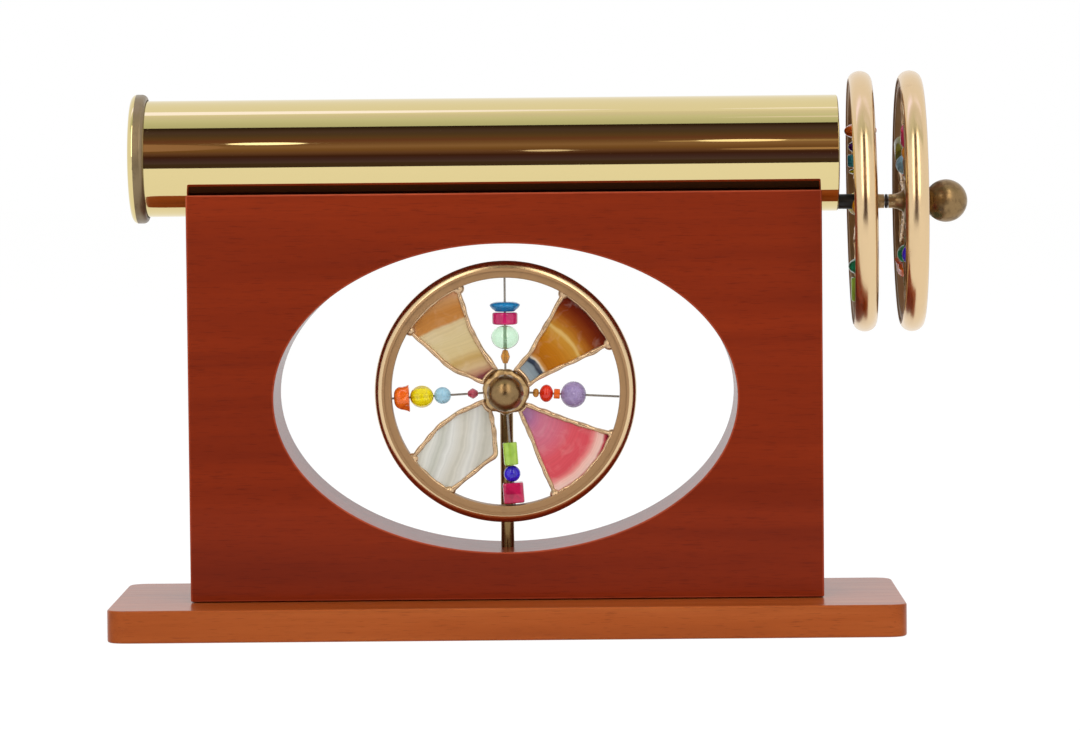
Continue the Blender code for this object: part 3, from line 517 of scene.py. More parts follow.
@functools.lru_cache(maxsize=None)
def material_of(finish: Finish) -> bpy.types.Material:
    """The finish's material, made once: its pattern nodes, one shader and the output."""
    material, tree = blank_material(finish.name)
    place = add_node(tree, "TexCoord").outputs["Object"]
    shader = add_node(tree, "BsdfPrincipled", finish.surface(tree, place))
    add_node(tree, "OutputMaterial", {"Surface": shader})
    return material


# Stained and lacquered mahogany: the board is a deeper red than the base
BOARD_WOOD = LacqueredWood("satin_lacquered_mahogany", "board_wood", "#7F280B", "#772409",
                           "#6C1F08", "#481104")
# Painted highlight: the eased arrises are paler, as where the light catches them
ARRIS_HIGHLIGHT_WOOD = LacqueredWood("rubbed_mahogany_arris", "board_wood", "#A04428", "#963C22", "#8A341C", "#602010")
# Painted shade: the bed under the tube, in the tube's shadow, is coloured nearly black and given little
# lacquer
GROOVE_SHADE_WOOD = LacqueredWood("dark_bedding_groove", "board_wood", "#3A1206", "#2E0E05", "#240A03", "#160501",
                            coat=0.05)
BASE_WOOD = LacqueredWood("lacquered_mahogany_base", "base_wood", "#A25425", "#98491B", "#8A4016", "#62280C",
                          lacquer_ior=1.18)
# Drawn brass tube, buffed bright: a sharp mirror with faint lines along the draw
TUBE_BRASS = WorkedMetal("buffed_drawn_brass", "tube_brass", "#DCCA92", "#B09A5E", 0.10, (0.02, 0.05),
                         patch_size=0.02, mark_size=(0.05, 0.0005, 0.0005), mark_depth=0.0000008)
# The cap's skirt behind its bright rim is grey-brown and dull
CAP_SKIRT = WorkedMetal("dulled_cap_brass", "tube_brass", "#806E52", "#524636", 0.45, (0.30, 0.45),
                        patch_size=0.003, mark_size=(0.0006, 0.004, 0.004), mark_depth=0.000006, metallic=0.7)
# Rolled brass channel, buffed by hand: warmer, softer reflections with brown patches
RIM_BRASS = WorkedMetal("hand_buffed_channel_brass", "rim_brass", "#DFC298", "#A6845A", 0.26, (0.17, 0.28),
                        patch_size=0.012, mark_size=(0.0012, 0.0012, 0.0012), mark_depth=0.000004)
# The channel's flat sides were filed, not buffed: brown, duller and less metallic than its rounded outside
RIM_SIDES = WorkedMetal("filed_browned_brass", "rim_brass", "#98754F", "#6A4E36", 0.40, (0.42, 0.55),
                        patch_size=0.009, mark_size=(0.0012, 0.0012, 0.0012), mark_depth=0.000004,
                        metallic=0.45)
# Turned brass left to age: brown patina, dull in patches
AGED_BRASS = WorkedMetal("patinated_turned_brass", "aged_brass", "#8E7450", "#4C3A24", 0.50, (0.24, 0.42),
                         patch_size=0.003, mark_size=(0.0008, 0.0008, 0.0008), mark_depth=0.000004)
POST_BRASS = WorkedMetal("handled_round_brass", "aged_brass", "#8A7048", "#4C3A22", 0.40, (0.20, 0.34),
                         patch_size=0.004, mark_size=(0.0006, 0.0006, 0.02), mark_depth=0.000003)
# Tinned solder over copper foil: lumpy, coppery, dark in its hollows
SOLDER = WorkedMetal("coppered_solder", "solder", "#CDAE8A", "#6E5238", 0.50, (0.22, 0.40),
                     patch_size=0.003, mark_size=(0.001, 0.001, 0.001), mark_depth=0.000006,
                     lump_size=0.0024, lump_depth=0.00020, metallic=0.9)
HUB_SOLDER = WorkedMetal("aged_hub_solder", "solder", "#B4966A", "#6A5234", 0.50, (0.26, 0.42),
                         patch_size=0.0025, mark_size=(0.001, 0.001, 0.001), mark_depth=0.000006,
                         lump_size=0.0024, lump_depth=0.00020, metallic=0.9)
STEEL = WorkedMetal("drawn_steel_wire", "steel", "#9A948C", "#5A5048", 0.35, (0.22, 0.40),
                    patch_size=0.002, mark_size=(0.0006, 0.0006, 0.0006))
CLEAR_GLASS = FlatGlass("clear_sheet_glass", "clear_glass", "#F6FAFA", 0.0, 1.0)
MIRROR_GLASS = FlatGlass("silvered_mirror_glass", "mirror", "#E6EAEC", 1.0, 0.0)
SLEEVE_PLASTIC = GrainySolid("moulded_acetal", "black_plastic", "#1C1917", "#2A2522", 0.0004, 0.000006, 0.38)
COLLAR_CORK = GrainySolid("pressed_cork", "collar_wood", "#B08858", "#7A5430", 0.0016, 0.0002, 0.85)


class Glass(Enum):
    """The bead colours."""

    TEAL = BeadGlass("teal_pressed_glass", "blue_beads", "#0A84C0", "#0A5E94", 0.25)
    MAGENTA = BeadGlass("magenta_cane_glass", "crimson_beads", "#C81E64", "#8E0F48", 0.15)
    PALE_GREEN = BeadGlass("pale_green_clear_glass", "blue_beads", "#D8F6DC", "#BCEFC8", 0.92, 0.02)
    AMBER = BeadGlass("amber_crystal", "orange_beads", "#E09A1E", "#B86A10", 0.55)
    ORANGE = BeadGlass("orange_flower_glass", "orange_beads", "#F4701A", "#E04A0A", 0.35, 0.10)
    YELLOW = BeadGlass("yellow_crystal", "orange_beads", "#F6E41C", "#E6C40E", 0.45)
    PALE_BLUE = BeadGlass("pale_blue_opal_glass", "blue_beads", "#A9D4E6", "#8CC0DA", 0.35)
    ROSE = BeadGlass("rose_crystal", "crimson_beads", "#C8465C", "#9A2A40", 0.40)
    CRIMSON = BeadGlass("crimson_pressed_glass", "crimson_beads", "#C01C50", "#8A1038", 0.20)
    COBALT = BeadGlass("cobalt_clear_glass", "blue_beads", "#3A24D6", "#2410A0", 0.45)
    LIME = BeadGlass("lime_cane_glass", "blue_beads", "#BCE05C", "#9CC83C", 0.45)
    LILAC = BeadGlass("lilac_crackle_glass", "violet_beads", "#A792BE", "#8A74A8", 0.35, 0.12, frost=0.00035)
    RED = BeadGlass("red_pressed_glass", "crimson_beads", "#E42E12", "#B81808", 0.30)
    HONEY = BeadGlass("honey_glass", "orange_beads", "#D08A2C", "#A06418", 0.40)
    PURPLE = BeadGlass("plum_clear_glass", "violet_beads", "#6A2E86", "#46185E", 0.35)
    SEA_GREEN = BeadGlass("sea_green_clear_glass", "blue_beads", "#2FA070", "#1A7450", 0.45)
    AQUA = BeadGlass("aqua_opal_glass", "blue_beads", "#4CB4C0", "#2E94A4", 0.30)
    OLIVE = BeadGlass("olive_clear_glass", "orange_beads", "#8C8630", "#6A6420", 0.40)


AMBER_AGATE = AgateSlice(
    "amber_agate", "amber_agate", (-0.006, -0.005), (0.015, 0.046),
    ((0.0, "#9AA4A8"), (0.10, "#8C989E"), (0.150, "#7A8890"), (0.165, "#2A3240"), (0.20, "#3A4454"),
     (0.215, "#D8C8B0"), (0.235, "#C08A48"), (0.27, "#A8620E"), (0.42, "#B26C12"), (0.50, "#B87820"),
     (0.585, "#BC8630"), (0.615, "#D4B068"), (0.645, "#B47A26"), (0.71, "#A2601A"), (0.79, "#80380C"),
     (0.89, "#661E06"), (1.0, "#521204")), sway=0.0012)
CREAM_AGATE = AgateSlice(
    "cream_agate", "cream_agate", (0.0132, -0.0585), (0.063, 0.098),
    ((0.0, "#5A1424"), (0.12, "#74202C"), (0.15, "#B08064"), (0.22, "#CBAE82"), (0.30, "#BE9C5E"),
     (0.38, "#CDB684"), (0.55, "#CEBA8C"), (0.68, "#CBB488"), (0.705, "#B87C3E"), (0.80, "#B67838"),
     (0.88, "#C08C58"), (0.94, "#C8926A"), (1.0, "#A06A3A")), sway=0.0014)
GREY_AGATE = AgateSlice(
    "grey_agate", "grey_agate", (-0.062, -0.007), (0.024, 0.060),
    ((0.0, "#C4CACC"), (0.12, "#D6D8D2"), (0.20, "#C2C2B8"), (0.27, "#DADAD4"), (0.34, "#C9C7BA"),
     (0.42, "#D8D8D0"), (0.50, "#BEBEB2"), (0.58, "#DADAD4"), (0.68, "#C8C4B6"), (0.78, "#D8D7D0"),
     (0.88, "#C2BEB0"), (1.0, "#D2D0C6")), line_width=0.0010, line_depth=0.10, sway=0.0014)
PINK_AGATE = AgateSlice(
    "pink_agate", "pink_agate", (0.0055, -0.0075), (0.0, 0.030),
    ((0.0, "#9A6A9A"), (0.10, "#A86E98"), (0.22, "#C47088"), (0.40, "#CC6A7C"), (0.58, "#D2545E"),
     (0.76, "#D04E58"), (0.81, "#DC7A78"), (0.85, "#E8B4A8"), (0.905, "#E6C0B4"), (0.93, "#B8404C"),
     (0.955, "#7A1428"), (1.0, "#5E101E")), sway=0.0012)
GREEN_AGATE = AgateSlice(
    "green_agate", "grey_agate", (-0.006, -0.005), (0.015, 0.046),
    ((0.0, "#4A6A58"), (0.30, "#2E7A52"), (0.50, "#6AA070"), (0.64, "#2A6A44"), (0.80, "#8AB890"),
     (1.0, "#1E5A3A")))
ROSE_AGATE = AgateSlice(
    "rose_agate", "pink_agate", (-0.006, -0.005), (0.015, 0.046),
    ((0.0, "#7A8078"), (0.30, "#A05A50"), (0.50, "#8A2430"), (0.68, "#D68A8E"), (0.84, "#E0A8A4"),
     (1.0, "#A8404A")))


# Beads and spokes

class BeadForm(Enum):
    """The shapes that beads come in."""

    ROUND = "round"
    RONDELLE = "rondelle"
    CANE = "cane"
    CUBE = "cube"
    BICONE = "bicone"
    FLOWER = "flower"
    FACETED = "faceted"


class Bead(NamedTuple):
    """A bead: its form and glass, and where it lies, in shares of the wire's span."""

    form: BeadForm
    glass: Glass
    inner: float
    outer: float
    width: float


@dataclass(frozen=True)
class Spoke:
    """A straight steel wire from the hub to the rim with beads strung on it."""

    degrees: float
    beads: tuple[Bead, ...]
    wire_radius: float = 0.00035
    hole_radius: float = 0.00046
    mouth_wall: float = 0.0003

    def side(self, form: BeadForm, bottom: float, top: float, radius: float) -> Array:
        """The bead's side as rows of radius and height, from its outer end to its inner end.

        A round side is an ellipse's arc. A rondelle's is a dome, sqrt(1 - u^2), over a narrowing skirt,
        a bicone's two cones with a narrow belt, a flower's a bell, and a cane's or cube's a straight
        line with fired edges.

        Args:
            form: The bead's form.
            bottom: How far out its inner end lies.
            top: How far out its outer end lies.
            radius: Its greatest radius.

        Returns:
            The rows.
        """
        middle, half = (top + bottom) / 2, (top - bottom) / 2
        mouth = self.hole_radius + self.mouth_wall
        if form in (BeadForm.ROUND, BeadForm.FACETED):
            end = math.degrees(math.acos(mouth / radius))
            return arc((0, middle), (radius, half / math.sin(math.radians(end))), end, -end, 24)
        if form is BeadForm.RONDELLE:
            t = np.linspace(1, -1, 25)[:, None]
            dome = np.sqrt(1 - (np.maximum(t - 0.3, 0) / 0.85) ** 2)
            skirt = 1 - 0.38 * (np.maximum(0.3 - t, 0) / 1.3) ** 1.6
            return np.hstack([radius * dome * skirt, middle + half * t])
        if form is BeadForm.BICONE:
            belt = 0.16 * half
            return rounded([(mouth, top), (radius, middle + belt), (radius, middle - belt), (mouth, bottom)],
                           0.55 * half, 4, False)
        if form is BeadForm.FLOWER:
            shares = np.array([(0.10, 1.0), (0.22, 0.98), (0.34, 0.86), (0.42, 0.64), (0.43, 0.40),
                               (0.45, 0.18), (0.50, 0.0), (0.36, 0.04), (0.12, 0.20)])
            return rounded(np.stack([2 * radius * shares[:, 0], bottom + 2 * half * shares[:, 1]], -1),
                           0.35 * radius, 4, False)
        return rounded([(mouth, top), (radius, top), (radius, bottom), (mouth, bottom)],
                       0.18 * radius, 5, False)

    def bead_grid(self, bead: Bead, hub_radius: float, span: float) -> Array:
        """The bead's outside and the bore through it, as one closed grid about the wire.

        A cube's radius at angle a is scaled by the rounded square 0.88 (|cos a|^10 + |sin a|^10)^(-1/10),
        which fades towards its mouths, and a flower's by its five petals, 1 + 0.16 p cos 5a - 0.06 p,
        where p falls from 1 at the petals' ends to 0 two thirds of the way to the neck. A bicone and a
        faceted ball have their flats from few directions round the wire.

        Args:
            bead: The bead.
            hub_radius: Where the wire leaves the hub.
            span: The wire's free length.

        Returns:
            The grid, with the wire along Z.
        """
        bottom = hub_radius + bead.inner * span + TOUCH_GAP / 2
        top = hub_radius + bead.outer * span - TOUCH_GAP / 2
        radius = bead.width * span / 2
        side = self.side(bead.form, bottom, top, radius)
        rows = np.vstack([side, (self.hole_radius, side[-1, 1]), (self.hole_radius, side[0, 1])])
        steps = {BeadForm.BICONE: 8, BeadForm.FACETED: 10}.get(bead.form, 48)
        angle = np.linspace(0, TURN, steps, endpoint=False)[None, :]
        scale = np.ones((len(rows), steps))
        if bead.form is BeadForm.CUBE:
            square = (np.abs(np.cos(angle)) ** 10 + np.abs(np.sin(angle)) ** 10) ** -0.1 * 0.88
            scale = 1 + (square - 1) * np.clip((rows[:, :1] - self.hole_radius * 2) / (radius * 0.5), 0, 1)
        if bead.form is BeadForm.FLOWER:
            petal = np.clip((bottom + 2 * top - 3 * rows[:, 1:]) / (2 * (top - bottom)), 0, 1)
            scale = 1 + 0.16 * petal * np.cos(5 * angle) - 0.06 * petal
        scale[-2:] = 1
        reach = rows[:, :1] * scale
        return np.stack([reach * np.cos(angle), reach * np.sin(angle), rows[:, 1:] + 0 * angle], -1)


class PanelShape(NamedTuple):
    """A slice's edge, in degrees round the wheel and shares of the wire's span."""

    outer: tuple[float, float]
    far_side: tuple[tuple[float, float], ...]
    inner: tuple[float, float]
    near_side: tuple[tuple[float, float], ...]


PANEL_SHAPES = (
    PanelShape((23, 60), ((60, 0.26),), (72, 8), ((18.6, 0.14),)),
    PanelShape((113, 148), ((159, 0.39),), (163, 106), ((116, 0.29), (116.7, 0.56))),
    PanelShape((214, 241), ((263, 0.46), (255.5, 0.17)), (234, 197), ((200.4, 0.32), (205.6, 0.60))),
    PanelShape((294, 339), ((337, 0.59),), (332, 301), ((296.5, 0.30), (294.4, 0.58))),
)


# Sub-assemblies

def make_piece(name: str, body: str, finish: Finish, *patches: Patch, stands_for: str = "",
               crease: float = 40.0, machined: bool = False) -> bpy.types.Object:
    """Makes a finished piece that rides on a body and stands for the solid it covers.

    Args:
        name: The piece's name.
        body: The body that it moves with.
        finish: What it is made of.
        patches: Its surfaces.
        stands_for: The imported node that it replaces, if it replaces one.
        crease: Angle in degrees over which an edge stays sharp.
        machined: Whether its long faces keep their true normals up to their eased edges.

    Returns:
        The piece.
    """
    piece = bpy.data.objects.new(name, mesh_of(name, patches, crease))
    bpy.context.scene.collection.objects.link(piece)
    piece.data.materials.append(material_of(finish))
    if machined:
        piece.modifiers.new("true_faces", "WEIGHTED_NORMAL").keep_sharp = True
    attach(piece, body)
    if stands_for:
        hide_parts(stands_for)
    LOG.info("%s rides on %s: %d faces, %s", name, body, len(piece.data.polygons), finish.name)
    return piece


def second_finish(piece: bpy.types.Object, finish: Finish, chosen: Callable[[Array], Array]) -> None:
    """Gives some of a piece's faces another finish.

    Args:
        piece: The piece.
        finish: The other finish.
        chosen: Tells from the faces' middles, one row each, which of them get it.
    """
    piece.data.materials.append(material_of(finish))
    middles = np.empty(3 * len(piece.data.polygons), np.float32)
    piece.data.polygons.foreach_get("center", middles)
    index = chosen(middles.reshape(-1, 3)) * (len(piece.data.materials) - 1)
    piece.data.polygons.foreach_set("material_index", index.astype(np.int32))


def dress_node(name: str, finish: Finish) -> None:
    """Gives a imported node, whose shape is right, its finish."""
    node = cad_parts[name]
    node.data.materials.clear()
    node.data.materials.append(material_of(finish))
    LOG.info("%s keeps its shape: %s", name, finish.name)


def rod_profile(radius: float, start: float, end: float, steps: int = 3) -> Array:
    """A round rod's half section from one end to the other, its edges eased by 0.3 mm."""
    return rounded([(0, start), (radius, start), (radius, end), (0, end)], 0.0003, steps, False)


def sleeve_profile(inner: float, outer: float, start: float, end: float) -> Array:
    """A plain sleeve's section, its outer edges eased."""
    ease = np.array([0.25, 0.25, 0, 0]) * (outer - inner)
    return rounded([(outer, end), (outer, start), (inner, start), (inner, end)], ease, 3, True)


def ball_profile(radius: float, flat_radius: float = 0.0029) -> Array:
    """A ball from its pole down to the small flat that faces the hub: (R cos t, c + R sin t)."""
    centre = math.sqrt(radius ** 2 - flat_radius ** 2)
    dome = arc((0, centre), (radius, radius), 90, -math.degrees(math.asin(centre / radius)), 48)
    return np.vstack([dome, [(flat_radius * 0.6, 0.0), (0.0, 0.0)]])


@dataclass
class Stand:
    """The base, the board with its window, and the post that carries the display wheel."""

    base_half: tuple[float, float] = (0.1289, 0.0435)
    base_height: float = 0.0105
    base_corner: float = 0.007
    base_ease: float = 0.0006
    board_half: tuple[float, float] = (0.10325, 0.02025)
    board_bottom: float = 0.0108
    board_top: float = 0.1433
    board_ease: float = 0.0005
    window_half: tuple[float, float] = (0.0755, 0.0503)
    window_height: float = 0.0765
    groove_radius: float = 0.01935
    groove_strip: float = 0.0158    # half the width of the top's finely divided strip with the groove
    post_radius: float = 0.00215
    post_bottom: float = 0.0175
    axle_height: float = 0.0783
    axle_radius: float = 0.0015
    axle_overhang: tuple[float, float] = (0.001, 0.004)     # behind the boss, and into the ball
    boss_radius: float = 0.00425
    boss_half: float = 0.004
    wheel_front: float = 0.014
    hub_half: float = 0.0023
    hub_reach: float = 0.003
    sleeve_radius: float = 0.00245
    knob_radius: float = 0.006

    def base_grid(self) -> Array:
        """Rounded slab: the outline is a rounded rectangle, carried up a profile of eased edges.

        Each ring of the profile is the outline moved in by its inset, and the two ends close on
        the middle.
        """
        half_x, half_y = self.base_half
        loop = rounded([(half_x, half_y), (-half_x, half_y), (-half_x, -half_y), (half_x, -half_y)],
                       self.base_corner, 14, True)
        loop = np.vstack([loop, loop[:1]])
        loop = np.concatenate([
            np.linspace(a, b, 9)[:-1] if np.linalg.norm(a - b) > 2 * self.base_corner else a[None]
            for a, b in zip(loop[:-1], loop[1:])])
        ease, top = self.base_ease, self.base_height
        rings = np.concatenate([arc((ease, ease), (ease, ease), 270, 180, 5),
                                arc((ease, top - ease), (ease, ease), 180, 90, 5)])
        walls = loop[None] + rings[:, :1, None] * inward_normals(loop)[None]
        walls = np.concatenate([walls, np.broadcast_to(rings[:, 1:, None], (*walls.shape[:2], 1))], -1)
        ends = np.array([[0, 0, 0], [0, 0, top]], float)[:, None] + 0 * walls[:1]
        return np.concatenate([ends[:1], walls, ends[1:]])

    def board_grid(self) -> Array:
        """The board as one section carried round the window.

        For each direction round the window the section runs along the window's wall, up the
        front face, across the board's outer face and down the back face. The outer face's height
        over depth y is the board's top, or the groove z = axis - sqrt(R^2 - y^2) where that is
        lower, and the sides below it shrink to fit.
        """
        half_x, half_y = self.board_half
        strip = self.groove_strip
        across = np.concatenate([np.linspace(-half_y, -strip, 4)[:-1], np.linspace(-strip, strip, 33),
                                 np.linspace(strip, half_y, 4)[1:]])
        groove = TUBE_AXIS - np.sqrt(np.maximum(0, self.groove_radius ** 2 - across ** 2))
        top = np.where(np.abs(across) < self.groove_radius, np.minimum(self.board_top, groove),
                       self.board_top)
        low = self.board_bottom + 0 * top
        up, along = np.linspace(0, 1, 49)[:-1, None], np.linspace(0, 1, 73)[:-1, None]
        outer_x = np.concatenate([half_x + 0 * up, half_x - 2 * half_x * along,
                                  -half_x + 0 * up, -half_x + 2 * half_x * along])
        outer_z = np.concatenate([low + (top - low) * up, top + 0 * along, top + (low - top) * up,
                                  low + 0 * along])
        outer = np.stack([outer_x + 0 * outer_z, across + 0 * outer_z, outer_z], -1)
        wide, tall = self.window_half
        angle = np.arctan2((outer_z[:, :1] - self.window_height) / tall, outer_x / wide)
        rim_x, rim_z = wide * np.cos(angle), self.window_height + tall * np.sin(angle)
        deep = np.linspace(half_y, -half_y, 9)[None]
        wall = np.stack([rim_x + 0 * deep, deep + 0 * rim_x, rim_z + 0 * deep], -1)
        share = np.array([0.25, 0.5, 0.75])[None, :, None]
        front = wall[:, -1:] + (outer[:, :1] - wall[:, -1:]) * share
        back = outer[:, -1:] + (wall[:, :1] - outer[:, -1:]) * share
        return np.concatenate([wall, front, outer, back], 1)

    def build_wood(self) -> None:
        """The two boards."""
        make_piece("base_plank", "stand", BASE_WOOD, Patch(self.base_grid()), stands_for="base_board",
                   machined=True)
        board = make_piece("window_board", "stand", BOARD_WOOD, Patch(self.board_grid(), True),
                           stands_for="upright_board", crease=25.0)
        # Painted highlight: the paler arris finish, which the bevel of the eased edges below takes as
        # material 1
        board.data.materials.append(material_of(ARRIS_HIGHLIGHT_WOOD))
        # Painted shade: the faces of the top and groove under the tube take the near-black groove finish
        second_finish(board, GROOVE_SHADE_WOOD, lambda middle: (np.abs(middle[:, 1]) < self.groove_radius)
                      & (middle[:, 2] > self.window_height + self.window_half[1])
                      & (np.abs(middle[:, 0]) < self.board_half[0] - self.board_ease))
        # The bevel's faces take material 1, the painted highlight of the arrises
        ease = board.modifiers.new("eased_edges", "BEVEL")
        ease.width, ease.segments, ease.limit_method, ease.material = self.board_ease, 3, "ANGLE", 1
        ease.angle_limit, ease.harden_normals = math.radians(60), True
        for side in ("left", "right"):
            dress_node(f"base_screw_{side}", STEEL)

    def build_post(self) -> None:
        """The post with its boss, and the axle, sleeve and ball that hold the wheel on it."""
        facing = Matrix.Translation((0, 0, self.axle_height)) @ Matrix.Rotation(math.radians(90), 4, "X")
        bore, boss, half = self.axle_radius + TOUCH_GAP, self.boss_radius, self.boss_half
        post = rod_profile(self.post_radius, self.axle_height, self.post_bottom)
        ring = rounded([(boss, half), (boss, -half), (bore, -half), (bore, half)],
                       [0.0006, 0.0006, 0, 0], 4, True)
        flat = self.wheel_front + self.hub_reach + TOUCH_GAP
        pin = rod_profile(self.axle_radius, -half - self.axle_overhang[0], flat + self.axle_overhang[1])
        sleeve = sleeve_profile(bore, self.sleeve_radius, half + TOUCH_GAP,
                                self.wheel_front - self.hub_half - TOUCH_GAP)
        knob = facing @ Matrix.Translation((0, 0, flat))
        make_piece("post_and_boss", "stand", POST_BRASS, turned(post, Matrix.Identity(4), 48),
                   turned(ring, facing, 64, True), stands_for="display_post")
        for name, node, finish, patch in (
                ("display_pin", "display_axle", STEEL, turned(pin, facing, 32)),
                ("display_bush", "display_sleeve", SLEEVE_PLASTIC, turned(sleeve, facing, 48, True)),
                ("display_ball", "display_knob", AGED_BRASS,
                 turned(ball_profile(self.knob_radius), knob, 96))):
            make_piece(name, "stand", finish, patch, stands_for=node)


@dataclass
class Scope:
    """The tube with its eyepiece cap, what is inside it, and the axle for the two wheels."""

    rear: float = -0.120
    front: float = 0.10925
    radius: float = 0.01905
    bore: float = 0.01785
    insert: float = 0.01755
    cap_radius: float = 0.02115
    cap_rear: float = -0.1221
    cap_disc: float = 0.0018
    cap_skirt: float = 0.0034
    cap_shoulder: tuple[float, float] = (0.0024, 0.0018)    # radial, and along the tube
    cap_lip: tuple[float, float] = (0.0015, 0.0017)
    cap_bright: float = 0.0020      # how much of the cap's length is buffed
    eye_radius: float = 0.005
    dish: tuple[float, float] = (0.0035, 0.0008)
    lens: float = 0.002
    sleeve_radius: float = 0.00245
    axle_bore: float = 0.0018
    near_hub: float = 0.1151
    spacer: tuple[float, float] = (0.1249, 0.1258)
    spacer_radius: float = 0.0023
    knob_flat: float = 0.1386
    knob_radius: float = 0.0070

    def cap_profile(self) -> Array:
        """The cup's section: a round-edged cup over the tube's end, dished round the eye hole."""
        inner, outer = self.radius + TOUCH_GAP, self.cap_radius
        top, eye = self.cap_disc + self.cap_skirt, self.eye_radius
        lip = arc((outer - self.cap_lip[0], top - self.cap_lip[1]), self.cap_lip, 90, 0, 16)
        shoulder = arc((outer - self.cap_shoulder[0], self.cap_shoulder[1]), self.cap_shoulder, 0, -90, 20)
        mouth = [shoulder[-1], (eye + self.dish[0], 0), (eye, self.dish[1]), (eye, self.cap_disc),
                 (inner, self.cap_disc), (inner, top)]
        return np.vstack([lip, shoulder[:-1], rounded(mouth, [0, 0.0012, 0.0003, 0.0002, 0, 0], 6, False)])

    def build(self) -> None:
        """All the scope's pieces."""
        along, axle = (Matrix.Translation((0, 0, height)) @ Matrix.Rotation(math.radians(90), 4, "Y")
                       for height in (TUBE_AXIS, AXLE_HEIGHT))
        tube = rounded([(self.radius, self.front), (self.radius, self.rear), (self.bore, self.rear),
                        (self.bore, self.front)], [0.0004, 0.0004, 0.0002, 0.0002], 3, True)
        make_piece("drawn_tube", "scope", TUBE_BRASS, turned(tube, along, 256, True), stands_for="tube",
                   machined=True)
        cap = along @ Matrix.Translation((0, 0, self.cap_rear))
        cup = make_piece("eye_cup", "scope", TUBE_BRASS, turned(self.cap_profile(), cap, 192, True),
                         stands_for="eyepiece_cap", machined=True)
        second_finish(cup, CAP_SKIRT, lambda middle: middle[:, 0] > self.cap_rear + self.cap_bright)
        lens = rod_profile(self.insert, self.rear + self.lens, self.rear, 2)
        make_piece("eye_glass", "scope", CLEAR_GLASS, turned(lens, along, 128), stands_for="eyepiece_lens")
        for node, finish in (("mirror_bottom", MIRROR_GLASS), ("mirror_back", MIRROR_GLASS),
                             ("mirror_front", MIRROR_GLASS), ("mirror_collar_rear", COLLAR_CORK),
                             ("mirror_collar_front", COLLAR_CORK), ("object_window", CLEAR_GLASS),
                             ("window_retainer", TUBE_BRASS), ("scope_axle", STEEL)):
            dress_node(node, finish)
        sleeve = sleeve_profile(self.axle_bore, self.sleeve_radius, self.front + TOUCH_GAP,
                                self.near_hub - TOUCH_GAP)
        spacer = sleeve_profile(self.axle_bore, self.spacer_radius, *self.spacer)
        knob = axle @ Matrix.Translation((0, 0, self.knob_flat))
        for name, node, finish, patch in (
                ("axle_bush", "axle_sleeve", SLEEVE_PLASTIC, turned(sleeve, axle, 48, True)),
                ("hub_washer", "wheel_spacer", SLEEVE_PLASTIC, turned(spacer, axle, 48, True)),
                ("end_ball", "axle_knob", AGED_BRASS, turned(ball_profile(self.knob_radius), knob, 96))):
            make_piece(name, "scope", finish, patch, stands_for=node)


